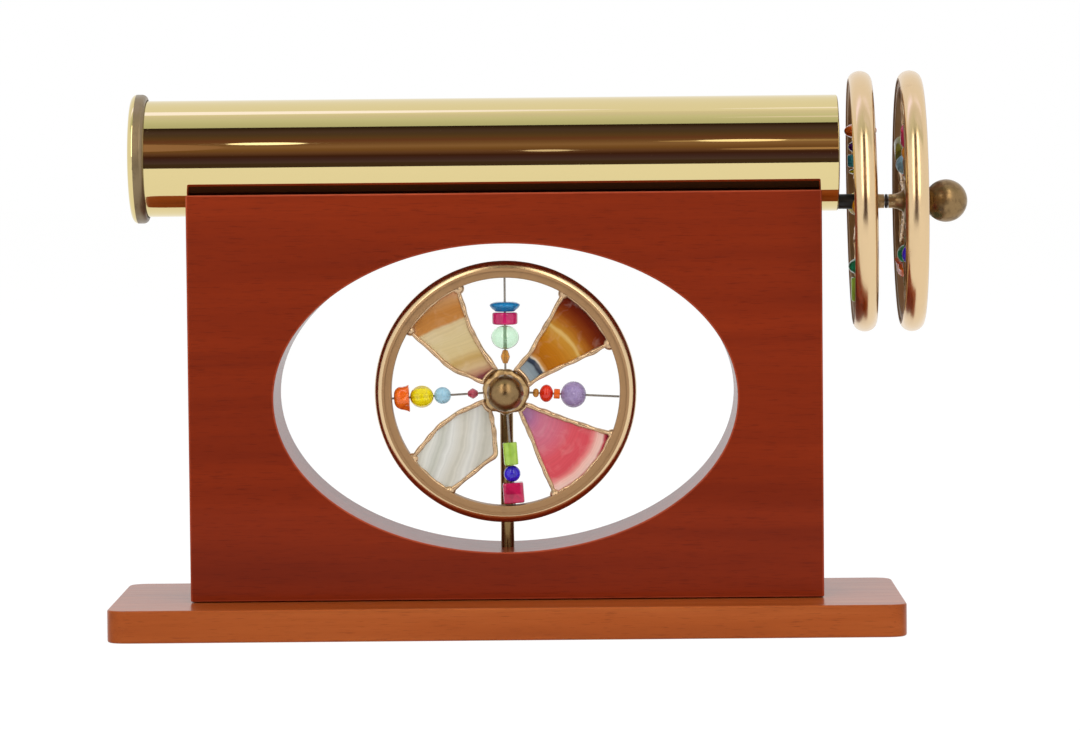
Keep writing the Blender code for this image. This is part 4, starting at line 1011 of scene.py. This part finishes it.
@dataclass
class Wheel:
    """A channel rim, a soldered hub, four foil-framed slices and four beaded wires."""

    name: str
    place: Matrix
    turn: float
    spokes: tuple[Spoke, ...]
    slices: tuple[AgateSlice, ...]
    reaches: tuple[float, float]    # how far the hub reaches behind and before the wheel's middle
    seed: int
    skew: tuple[float, float] = (0.0, 0.0)      # degrees out of square, about the wheel's X and Y
    rim_outer: float = 0.04275
    rim_inner: float = 0.03725
    rim_half: float = 0.0038
    leg_depth: float = 0.0023
    leg_step: float = 0.0005
    filed_to: float = 0.0403        # radius up to which the channel's sides are filed
    hub_radius: float = 0.0076
    disc_half: float = 0.0023
    edge_half: float = 0.0016
    axle_bore: float = 0.0018
    tip_wall: float = 0.0005
    cone_rise: float = 0.0024
    flare_share: float = 0.85       # how much of a cone's length its flare takes
    foil_half: float = 0.00078      # foil and solder across the edge
    foil_depth: float = 0.00195     # and through it
    glass_half: float = 0.0012
    rim_seat: float = 0.0010        # how far a slice's outer edge lies behind the channel's side
    hub_seat: float = 0.0004        # how far its inner edge lies inside the hub
    corner_ease: float = 0.0016
    edge_points: int = 280          # points along a slice's edge
    wire_seats: tuple[float, float] = (0.0006, 0.0001)      # into the hub, and short of the rim
    # How strong and how long the foil's ripples are: of its path, width, depth and skin
    foil_relief: tuple[tuple[float, float], ...] = ((0.00007, 0.006), (0.13, 0.0045), (0.07, 0.005),
                                                    (0.00005, 0.0024))

    @property
    def span(self) -> float:
        """Length of a wire between the hub and the rim."""
        return self.rim_inner - self.hub_radius

    @property
    def plane(self) -> Matrix:
        """Puts the rim, the slices and the wires in the plane that the maker left out of square."""
        lean, twist = (math.radians(angle) for angle in self.skew)
        return self.place @ Matrix.Rotation(twist, 4, "Y") @ Matrix.Rotation(lean, 4, "X")

    def at(self, radius: float | Array, degrees: Array | Sequence[float]) -> Array:
        """Points of the wheel's plane: (r cos a, r sin a), with a counted from the wheel's turn."""
        angles = np.radians(np.asarray(degrees, float) + self.turn)
        return np.stack([radius * np.cos(angles), radius * np.sin(angles)], -1)

    def rim_profile(self) -> Array:
        """The channel's section: a half-round outside, x = a cos t and y = b sin t, and two flat legs."""
        shoulder = self.rim_inner + self.leg_depth
        leg = self.rim_half - self.leg_step
        bead = arc((shoulder, 0), (self.rim_outer - shoulder, self.rim_half), 90, -90, 36)
        legs = [(shoulder, -leg), (self.rim_inner, -leg), (self.rim_inner, leg), (shoulder, leg)]
        return np.vstack([bead, rounded(legs, 0.0004, 4, False)])

    def edge(self, shape: PanelShape) -> Array:
        """The slice's edge with its foil as a closed anticlockwise loop, corners eased by the solder."""
        sides = [[self.at(self.hub_radius + share * self.span, [degrees]) for degrees, share in side]
                 for side in (shape.far_side, shape.near_side)]
        corners = np.concatenate([
            self.at(self.rim_inner + self.rim_seat, np.linspace(*shape.outer, 9)), *sides[0],
            self.at(self.hub_radius - self.hub_seat, np.linspace(*shape.inner, 7)), *sides[1]])
        return resampled(rounded(corners, self.corner_ease, 5, True), self.edge_points)

    def foil_patch(self, loop: Array, seed: int) -> Patch:
        """Foil and solder as a rounded bar carried round the edge.

        The section is |x/a|^3 + |z/b|^3 = 1. Its width a and depth b swell and shrink by smooth
        random relief along the edge, and so does the line that it follows.
        """
        run = np.stack([loop[:, 0], loop[:, 1], np.full(len(loop), 0.01 * seed)], -1)
        inward = inward_normals(loop)
        path, wide, deep, skin = self.foil_relief
        wobble = path[0] * ripples(run, path[1], seed)[:, None]
        middle = loop + inward * (self.foil_half * 1.05 + wobble)
        width = self.foil_half * (1 + wide[0] * ripples(run, wide[1], seed + 1))[:, None]
        depth = self.foil_depth * (1 + deep[0] * ripples(run, deep[1], seed + 2))[:, None]
        t = np.linspace(0, TURN, 20, endpoint=False)[None]
        across = width * np.sign(np.cos(t)) * np.abs(np.cos(t)) ** (2 / 3)
        through = depth * np.sign(np.sin(t)) * np.abs(np.sin(t)) ** (2 / 3)
        grid = np.concatenate([middle[:, None] + across[..., None] * inward[:, None], through[..., None]], -1)
        grid[..., 2] += skin[0] * ripples(grid, skin[1], seed + 3)
        return Patch(carried(grid, self.plane), True)

    def slice_patch(self, loop: Array) -> Patch:
        """The slice: rings of the edge drawn in towards its middle, p = m + s (e - m), over and under."""
        inner = loop + inward_normals(loop) * (self.foil_half * 0.6)
        middle = inner.mean(0)
        share = np.array([0.0, 0.5, 0.985, 1.0, 1.0, 0.985, 0.5, 0.0])[:, None, None]
        height = self.glass_half * np.array([1, 1, 1, 0.85, -0.85, -1, -1, -1])
        flat = middle + share * (inner - middle)[None]
        grid = np.concatenate([flat, np.broadcast_to(height[:, None, None], (*flat.shape[:2], 1))], -1)
        return Patch(carried(grid, self.plane))

    def hub_patches(self) -> list[Patch]:
        """The hub: a soldered disc, its section and edge swelling by relief, and a cone each side."""
        rear, front = self.reaches
        bore, thick = self.axle_bore, self.disc_half
        tip = bore + self.tip_wall
        cone = tip + self.cone_rise
        disc = [(bore, thick), (cone, thick), (self.hub_radius, self.edge_half),
                (self.hub_radius, -self.edge_half), (cone, -thick), (bore, -thick)]
        section = resampled(rounded(disc, [0, 0.002, 0.0013, 0.0013, 0.002, 0], 8, True), 60)
        grid = turned(section, Matrix.Identity(4), 160).grid
        away = np.linalg.norm(grid[..., :2], axis=-1, keepdims=True)
        free = np.clip((away - cone) / (self.hub_radius - cone), 0, 1)
        lumps = ripples(grid, 0.0045, self.seed)[..., None]
        fine = ripples(grid, 0.0016, self.seed + 1)[..., None]
        grid[..., :2] *= 1 + free * (0.045 * lumps + 0.008 * fine - 0.015)
        grid[..., 2:] *= 1 + free * (0.12 * lumps + 0.03 * fine)
        patches = [Patch(carried(grid, self.place), True)]
        start = thick * 0.9
        for reach, way in ((front, 1), (rear, -1)):
            if reach > thick + TOUCH_GAP:
                flared = self.flare_share * (reach - start)
                flare = arc((cone, flared + start), (self.cone_rise, flared), 270, 180, 16)
                end = [(tip, reach), (bore, reach), (bore, start)]
                patches.append(turned(np.vstack([flare, end]) * (1, way), self.place, 64, True))
        return patches

    def solder_patches(self) -> list[Patch]:
        """Blobs of solder where the foil meets the rim: an ellipsoid each, sized by a seeded draw."""
        draw = np.random.default_rng(self.seed)
        degrees = np.array([end for shape in PANEL_SHAPES for end in shape.outer], float)
        degrees += np.tile([1.2, -1.2], len(PANEL_SHAPES))
        count = len(degrees)
        flat = self.at(self.rim_inner - 0.0001 + draw.uniform(-0.0003, 0.0003, count), degrees)
        centres = np.column_stack([flat, draw.uniform(0.0, 0.0006, count)])
        sizes = ((0.0015, 0.0022), (0.0015, 0.0022), (0.0016, 0.0023))
        radii = np.stack([draw.uniform(*size, count) for size in sizes], -1)
        return [Patch(carried(blob.grid, self.plane)) for blob in ball(centres, radii, 24)]

    def build(self) -> None:
        """All the wheel's pieces."""
        body = self.name
        rim = make_piece(f"{body}_channel", body, RIM_BRASS,
                         turned(self.rim_profile(), self.plane, 256, True),
                         stands_for=f"{body}_rim", crease=35.0, machined=True)
        into_plane = self.plane.inverted()
        second_finish(rim, RIM_SIDES, lambda middle: (
            np.linalg.norm(carried(middle, into_plane)[:, :2], axis=1) < self.filed_to))
        make_piece(f"{body}_soldered_hub", body, HUB_SOLDER, *self.hub_patches(), stands_for=f"{body}_hub")
        make_piece(f"{body}_rim_solder", body, SOLDER, *self.solder_patches())
        turned_plane = self.plane @ Matrix.Rotation(math.radians(self.turn), 4, "Z")
        seat = (*self.place.translation, *turned_plane.to_euler())
        for number, (shape, finish) in enumerate(zip(PANEL_SHAPES, self.slices), 1):
            loop = self.edge(shape)
            make_piece(f"{body}_foil_{number}", body, SOLDER, self.foil_patch(loop, self.seed + 10 * number))
            seated = dataclasses.replace(finish, name=f"{body}_{finish.name}", seat=seat)
            make_piece(f"{body}_slice_{number}", body, seated, self.slice_patch(loop),
                       stands_for=f"{body}_panel_{number}", crease=30.0, machined=True)
        for number, spoke in enumerate(self.spokes, 1):
            self.build_spoke(number, spoke)

    def build_spoke(self, number: int, spoke: Spoke) -> None:
        """One wire and its beads.

        Args:
            number: The spoke's number in the wheel.
            spoke: The wire's direction and what is strung on it.
        """
        angle = math.radians(spoke.degrees + self.turn)
        along = self.plane @ Matrix(((-math.sin(angle), 0, math.cos(angle), 0),
                                     (math.cos(angle), 0, math.sin(angle), 0), (0, 1, 0, 0), (0, 0, 0, 1)))
        radius = spoke.wire_radius
        start, end = self.hub_radius - self.wire_seats[0], self.rim_inner - self.wire_seats[1]
        make_piece(f"{self.name}_wire_{number}", self.name, STEEL,
                   turned([(0, end), (radius, end), (radius, start), (0, start)], along, 16),
                   stands_for=f"{self.name}_spoke_{number}")
        for place, bead in enumerate(spoke.beads, 1):
            grid = carried(spoke.bead_grid(bead, self.hub_radius, self.span), along)
            make_piece(f"{self.name}_bead_{number}_{place}", self.name, bead.glass.value, Patch(grid, True),
                       crease=12.0 if bead.form in (BeadForm.BICONE, BeadForm.FACETED) else 45.0)


F, G = BeadForm, Glass
DISPLAY_SPOKES = (
    Spoke(90, (Bead(F.RONDELLE, G.TEAL, 0.622, 0.738, 0.335), Bead(F.CANE, G.MAGENTA, 0.478, 0.622, 0.28),
               Bead(F.ROUND, G.PALE_GREEN, 0.207, 0.476, 0.307), Bead(F.BICONE, G.AMBER, 0.05, 0.207, 0.10))),
    Spoke(183, (Bead(F.FLOWER, G.ORANGE, 0.80, 0.98, 0.303), Bead(F.FACETED, G.YELLOW, 0.535, 0.80, 0.245),
                Bead(F.ROUND, G.PALE_BLUE, 0.344, 0.535, 0.187),
                Bead(F.BICONE, G.ROSE, 0.045, 0.165, 0.115))),
    Spoke(274, (Bead(F.CUBE, G.CRIMSON, 0.745, 0.98, 0.26), Bead(F.ROUND, G.COBALT, 0.56, 0.745, 0.183),
                Bead(F.CANE, G.LIME, 0.30, 0.56, 0.157))),
    Spoke(357, (Bead(F.ROUND, G.LILAC, 0.347, 0.634, 0.29), Bead(F.CANE, G.ORANGE, 0.27, 0.347, 0.11),
                Bead(F.ROUND, G.RED, 0.114, 0.27, 0.195), Bead(F.ROUND, G.HONEY, 0.04, 0.114, 0.10))),
)
NEAR_SPOKES = (
    Spoke(90, (Bead(F.ROUND, G.ORANGE, 0.43, 0.62, 0.36), Bead(F.ROUND, G.PURPLE, 0.27, 0.43, 0.28),
               Bead(F.CANE, G.AQUA, 0.12, 0.27, 0.30), Bead(F.ROUND, G.YELLOW, 0.03, 0.12, 0.28))),
    Spoke(183, (Bead(F.BICONE, G.CRIMSON, 0.62, 0.88, 0.24), Bead(F.ROUND, G.AMBER, 0.38, 0.62, 0.27))),
    Spoke(274, (Bead(F.CANE, G.LIME, 0.58, 0.86, 0.28), Bead(F.ROUND, G.SEA_GREEN, 0.36, 0.57, 0.33),
                Bead(F.BICONE, G.YELLOW, 0.14, 0.36, 0.14))),
    Spoke(357, (Bead(F.ROUND, G.YELLOW, 0.48, 0.74, 0.28), Bead(F.FLOWER, G.TEAL, 0.28, 0.48, 0.24))),
)
FAR_SPOKES = (
    Spoke(90, (Bead(F.CANE, G.CRIMSON, 0.58, 0.80, 0.27), Bead(F.ROUND, G.HONEY, 0.34, 0.56, 0.24))),
    Spoke(183, (Bead(F.ROUND, G.COBALT, 0.46, 0.70, 0.27), Bead(F.BICONE, G.LIME, 0.22, 0.46, 0.17),
                Bead(F.ROUND, G.ROSE, 0.07, 0.22, 0.15))),
    Spoke(274, (Bead(F.FLOWER, G.ORANGE, 0.70, 0.92, 0.28), Bead(F.ROUND, G.SEA_GREEN, 0.48, 0.70, 0.24))),
    Spoke(357, (Bead(F.CANE, G.OLIVE, 0.52, 0.80, 0.26), Bead(F.ROUND, G.PALE_BLUE, 0.30, 0.50, 0.26),
                Bead(F.BICONE, G.RED, 0.14, 0.28, 0.13))),
)


class Lamp(NamedTuple):
    """A glowing card, pointed like a lens, that the tube mirrors as a tapered streak."""

    name: str
    across: tuple[float, float]     # the streak's ends along the tube
    elevation: float                # degrees above the tube's axis, from the front over the top
    tall: float                     # degrees that it covers
    away: float                     # its distance from the tube's axis
    stops: Stops                    # its glow from one end to the other
    strength: float = 1.0


LAMPS = (
    Lamp("left_lamp", (-0.0895, -0.0640), 28.6, 4.8, 1.0, ((0.0, "#FFF6EA"), (1.0, "#FFF6EA")), 2.0),
    Lamp("right_lamp", (0.063, 0.092), 26.6, 4.4, 1.0, ((0.0, "#FFF2DC"), (1.0, "#FFE8CC")), 1.6),
    Lamp("right_glow", (0.050, 0.125), 26.0, 4.5, 1.02, ((0.0, "#B89878"), (1.0, "#A88868"))),
    Lamp("low_lamp", (0.0065, 0.0225), 10.2, 3.6, 1.0, ((0.0, "#F4E0D2"), (1.0, "#F4E0D2"))),
    Lamp("low_glow", (0.070, 0.125), 9.8, 4.2, 1.0, ((0.0, "#A88468"), (1.0, "#C8A07C"))),
    Lamp("brown_glow", (-0.170, -0.090), 22.0, 15.0, 1.02, ((0.0, "#B88E76"), (1.0, "#A07860"))),
    Lamp("ceiling_lamp", (-0.7, 0.040), 101.5, 12.0, 1.3,
         ((0.0, "#D4D5FF"), (0.90, "#D4D5FF"), (1.0, "#C4C4E0")), 2.1),
    Lamp("far_ceiling_lamp", (0.068, 0.7), 101.5, 8.0, 1.3, ((0.0, "#D4D5F0"), (1.0, "#D4D5F0")), 1.9),
    Lamp("near_ceiling_lamp", (0.068, 0.7), 77.5, 7.0, 1.3, ((0.0, "#D8D6E0"), (1.0, "#D8D6E0")), 1.4),
)


@dataclass
class Studio:
    """A pale floor, soft light and the camera, with the dim room that the brass mirrors."""

    camera_at: tuple[float, float, float] = (0.0249, -1.5542, 0.1743)
    yaw: float = -0.00883
    pitch: float = 0.05670
    roll: float = -0.00956
    focal_pixels: float = 4729.0
    sensor: float = 36.0
    ambient: float = 0.62
    floor_size: float = 6.0
    floor_level: float = -0.0001
    white_share: float = 0.86       # share of the floor's white that doesn't take a shadow
    table_edge: float = 0.47        # how far the pale table shows in front, in reflections
    room_depth: float = 1.05
    room_height: float = 2.25
    room_ends: tuple[float, float] = (-0.25, 0.21)
    room_flare: float = 0.7         # how much wider the room is at its top
    room_corner: float = 0.3
    ceiling_back: float = 0.2
    ceiling_half: float = 3.0
    window_ends: tuple[float, float] = (-0.52, 0.50)    # their far ends: the near ones are the room's
    window_levels: tuple[float, float] = (0.25, 2.2)
    window_away: float = -1.0
    window_strength: float = 3.4
    lights_face: tuple[float, float, float] = (0, 0, 0.08)

    def shoot(self) -> None:
        """Places the fitted camera: yaw, pitch and roll are turned into its three axes."""
        forward = np.array([math.sin(self.yaw) * math.cos(self.pitch),
                            math.cos(self.yaw) * math.cos(self.pitch), -math.sin(self.pitch)])
        right = np.array([math.cos(self.yaw), -math.sin(self.yaw), 0.0])
        up = np.cross(right, forward)
        axis_x = math.cos(self.roll) * right + math.sin(self.roll) * up
        axis_y = -math.sin(self.roll) * right + math.cos(self.roll) * up
        data = bpy.data.cameras.new("portrait_camera")
        data.sensor_width = self.sensor
        data.lens = self.focal_pixels / PHOTO_WIDTH * self.sensor
        data.clip_start, data.clip_end = 0.05, 50.0
        camera = bpy.data.objects.new("portrait_camera", data)
        bpy.context.scene.collection.objects.link(camera)
        rows = np.stack([axis_x, axis_y, -forward, np.array(self.camera_at)], -1)
        camera.matrix_world = Matrix([*rows.tolist(), [0, 0, 0, 1]])
        bpy.context.scene.camera = camera

    def seen_directly(self, tree: bpy.types.NodeTree) -> bpy.types.Node:
        """One for rays that come from the camera, a mirror or a clear body, and else nothing."""
        path = add_node(tree, "LightPath").outputs
        shiny = add_node(tree, "Math", {0: path["Is Camera Ray"], 1: path["Is Glossy Ray"]},
                         operation="MAXIMUM")
        return add_node(tree, "Math", {0: shiny, 1: path["Is Transmission Ray"]}, operation="MAXIMUM")

    def build_world(self) -> None:
        """A white world to look at, which lights the object at its plain ambient level."""
        world = bpy.data.worlds.new("white_room")
        bpy.context.scene.world = world
        world.use_nodes = True
        tree = world.node_tree
        tree.nodes.clear()
        light, white = (add_node(tree, "Background", {"Color": (1, 1, 1, 1), "Strength": strength})
                        for strength in (self.ambient, 1.0))
        mix = add_node(tree, "MixShader", {0: self.seen_directly(tree), 1: light, 2: white})
        add_node(tree, "OutputWorld", {"Surface": mix})

    def stage_piece(self, name: str, grid: Array, material: bpy.types.Material) -> bpy.types.Object:
        """Adds an open sheet that isn't part of the object, and gives it."""
        mesh = bpy.data.meshes.new(name)
        mesh.from_pydata(grid.reshape(-1, 3).tolist(), [], grid_faces(Patch(grid, False, False), 0).tolist())
        mesh.materials.append(material)
        piece = bpy.data.objects.new(name, mesh)
        bpy.context.scene.collection.objects.link(piece)
        return piece

    def build_floor(self) -> None:
        """A white table top: mostly its own white where it is seen, so that only a soft shadow shows."""
        material, tree = blank_material("white_table")
        paint = add_node(tree, "BsdfPrincipled", {"Base Color": linear("#F2F2F0"), "Roughness": 0.9,
                                                  "Specular IOR Level": 0.0})
        white = add_node(tree, "Emission", {"Color": (1, 1, 1, 1), "Strength": 1.07})
        share = add_node(tree, "Math", {0: self.seen_directly(tree), 1: self.white_share},
                         operation="MULTIPLY")
        mix = add_node(tree, "MixShader", {0: share, 1: paint, 2: white})
        add_node(tree, "OutputMaterial", {"Surface": mix})
        side = np.linspace(-self.floor_size, self.floor_size, 3)
        grid = np.stack([*np.meshgrid(side, side, indexing="ij"), np.full((3, 3), self.floor_level)], -1)
        self.stage_piece("table_top", grid, material)

    def glow(self, name: str, grid: Array, axis: str, span: tuple[float, float], stops: Stops,
             strength: float = 1.0) -> None:
        """Adds a glowing sheet that only reflections show: it neither lights nor shades nor hides anything.

        Args:
            name: The sheet's name, and its material's.
            grid: Its points.
            axis: The axis of its object coordinates that the ramp of its glow follows.
            span: Where the ramp starts and ends.
            stops: The ramp's stops.
            strength: What the glow is multiplied by.
        """
        material, tree = blank_material(name)
        parts = add_node(tree, "SeparateXYZ", {0: add_node(tree, "TexCoord").outputs["Object"]})
        along = add_node(tree, "MapRange",
                         {"Value": parts.outputs[axis], "From Min": span[0], "From Max": span[1]})
        colour = add_node(tree, "ValToRGB", {"Fac": along}, stops)
        light = add_node(tree, "Emission", {"Color": colour, "Strength": strength})
        add_node(tree, "OutputMaterial", {"Surface": light})
        piece = self.stage_piece(name, grid, material)
        piece.visible_camera = piece.visible_diffuse = piece.visible_shadow = False
        piece.visible_transmission = piece.visible_volume_scatter = False

    def widened(self, level: float | Array) -> float | Array:
        """How many times wider the room is at a height than at its floor."""
        return 1 + self.room_flare * level / self.room_height

    def build_room(self) -> None:
        """The dim room in front of the table, its pale ceiling and its windows, which only the metal mirrors.

        The room's section runs along the floor from the table's edge and up the far side, with an
        eased corner between them.
        """
        depth, height, edge = self.room_depth, self.room_height, self.table_edge
        floor = 0.002
        section = rounded([(-edge, floor), (-depth, floor), (-depth, height)], self.room_corner, 12, False)
        wide = np.linspace(*self.room_ends, 3)[:, None]
        grid = np.stack([wide * self.widened(section[:, 1]), section[:, 0] + 0 * wide,
                         section[:, 1] + 0 * wide], -1)
        stops = ((0.0, "#463526"), (0.006, "#524045"), (0.05, "#493239"), (0.098, "#44271E"),
                 (0.15, "#6E4C3D"), (0.20, "#815C3D"), (0.255, "#947057"), (0.318, "#7E5B44"),
                 (0.38, "#714839"), (0.46, "#654B36"), (0.555, "#574539"), (0.68, "#524040"),
                 (0.855, "#3D2D25"), (0.97, "#2E2019"), (1.0, "#201610"))
        self.glow("dim_room", grid, "Z", (0.0, height), stops)
        over = np.array([-depth, 0.0, self.ceiling_back])
        wide = np.array([[-self.ceiling_half], [0.0], [self.ceiling_half]])
        sheet = np.stack([wide + 0 * over, over + 0 * wide, np.full((3, 3), height)], -1)
        shade = ((0.0, "#CDD3BF"), (0.26, "#D5DBC9"), (0.57, "#E3E9DB"), (0.81, "#ECEBEA"), (1.0, "#F6F4F2"))
        self.glow("pale_ceiling", sheet, "Y", (-depth, self.ceiling_back), shade)
        for name, ends in (("left_window", (self.window_ends[0], self.room_ends[0])),
                           ("right_window", (self.room_ends[1], self.window_ends[1]))):
            pane = np.array([[[end * self.widened(level), self.window_away, level]
                              for level in self.window_levels] for end in ends])
            self.glow(name, pane, "X", ends, ((0.0, "#FFF8EC"), (1.0, "#FFF8EC")), self.window_strength)

    def build_lamp(self, lamp: Lamp) -> None:
        """Hangs a lamp where the tube mirrors it at its place.

        Seen from the camera at c, a place x of the tube mirrors x + (x - c) a / d of a card at a, where
        d is how far off the camera is. The card's height is its own times sqrt(1 - u^2), u from -1 to 1.
        """
        seen_from, distance = self.camera_at[0], -self.camera_at[1]
        ends = [end + (end - seen_from) * lamp.away / distance for end in lamp.across]
        u = np.linspace(-1, 1, 33)[:, None]
        wide = (ends[0] + ends[1]) / 2 + u * (ends[1] - ends[0]) / 2
        tall = lamp.tall / 2 * np.array([[-1.0, 0.0, 1.0]]) * np.sqrt(1 - u ** 2)
        angles = np.radians(lamp.elevation + tall)
        grid = np.stack([wide + 0 * angles, -lamp.away * np.cos(angles),
                         TUBE_AXIS + lamp.away * np.sin(angles)], -1)
        self.glow(lamp.name, grid, "X", tuple(ends), lamp.stops, lamp.strength)

    def area_light(self, name: str, at: tuple[float, float, float], size: tuple[float, float],
                   power: float) -> None:
        """A soft box that lights but isn't mirrored.

        Args:
            name: The light's name.
            at: Where it hangs.
            size: Its two sides.
            power: Watts.
        """
        data = bpy.data.lights.new(name, "AREA")
        data.shape, data.size, data.size_y, data.energy = "RECTANGLE", *size, power
        light = bpy.data.objects.new(name, data)
        bpy.context.scene.collection.objects.link(light)
        hung = Matrix.Translation(at)
        way = Matrix.Translation(self.lights_face).translation - hung.translation
        light.matrix_world = hung @ way.to_track_quat("-Z", "Y").to_matrix().to_4x4()
        light.visible_glossy = light.visible_camera = light.visible_transmission = False

    def build(self) -> None:
        """The whole studio."""
        bpy.context.scene.view_settings.view_transform = "Standard"
        self.shoot()
        self.build_world()
        self.build_floor()
        self.build_room()
        for lamp in LAMPS:
            self.build_lamp(lamp)
        self.area_light("top_softbox", (0.1, -0.35, 1.35), (1.4, 1.0), 9.0)
        self.area_light("front_softbox", (-0.7, -1.5, 0.75), (0.9, 0.9), 8.0)
        self.area_light("side_softbox", (0.9, -1.3, 0.65), (0.9, 0.9), 6.0)


def main() -> None:
    """Builds the studio and the kaleidoscope and reports each piece."""
    logging.basicConfig(level=logging.INFO, format="%(name)s: %(message)s")
    Studio().build()
    stand = Stand()
    stand.build_wood()
    stand.build_post()
    Scope().build()
    sideways = Matrix(((0, 0, 1, 0), (1, 0, 0, 0), (0, 1, 0, 0), (0, 0, 0, 1)))
    display_at = (Matrix.Translation((0, -stand.wheel_front, stand.axle_height))
                  @ Matrix.Rotation(math.radians(90), 4, "X"))
    near_at, far_at = (Matrix.Translation((along, 0, AXLE_HEIGHT)) @ sideways
                       for along in (NEAR_WHEEL_AT, FAR_WHEEL_AT))
    Wheel("display_wheel", display_at, 0, DISPLAY_SPOKES, (AMBER_AGATE, CREAM_AGATE, GREY_AGATE, PINK_AGATE),
          (0.0023, 0.0030), 100).build()
    Wheel("near_wheel", near_at, 0, NEAR_SPOKES, (AMBER_AGATE, GREY_AGATE, PINK_AGATE, GREEN_AGATE),
          (0.0023, 0.0072), 200, (-0.95, -1.35)).build()
    Wheel("far_wheel", far_at, 40, FAR_SPOKES, (ROSE_AGATE, CREAM_AGATE, GREEN_AGATE, AMBER_AGATE),
          (0.0072, 0.0050), 300, (-0.34, -0.67)).build()


if __name__ == "__main__":
    main()
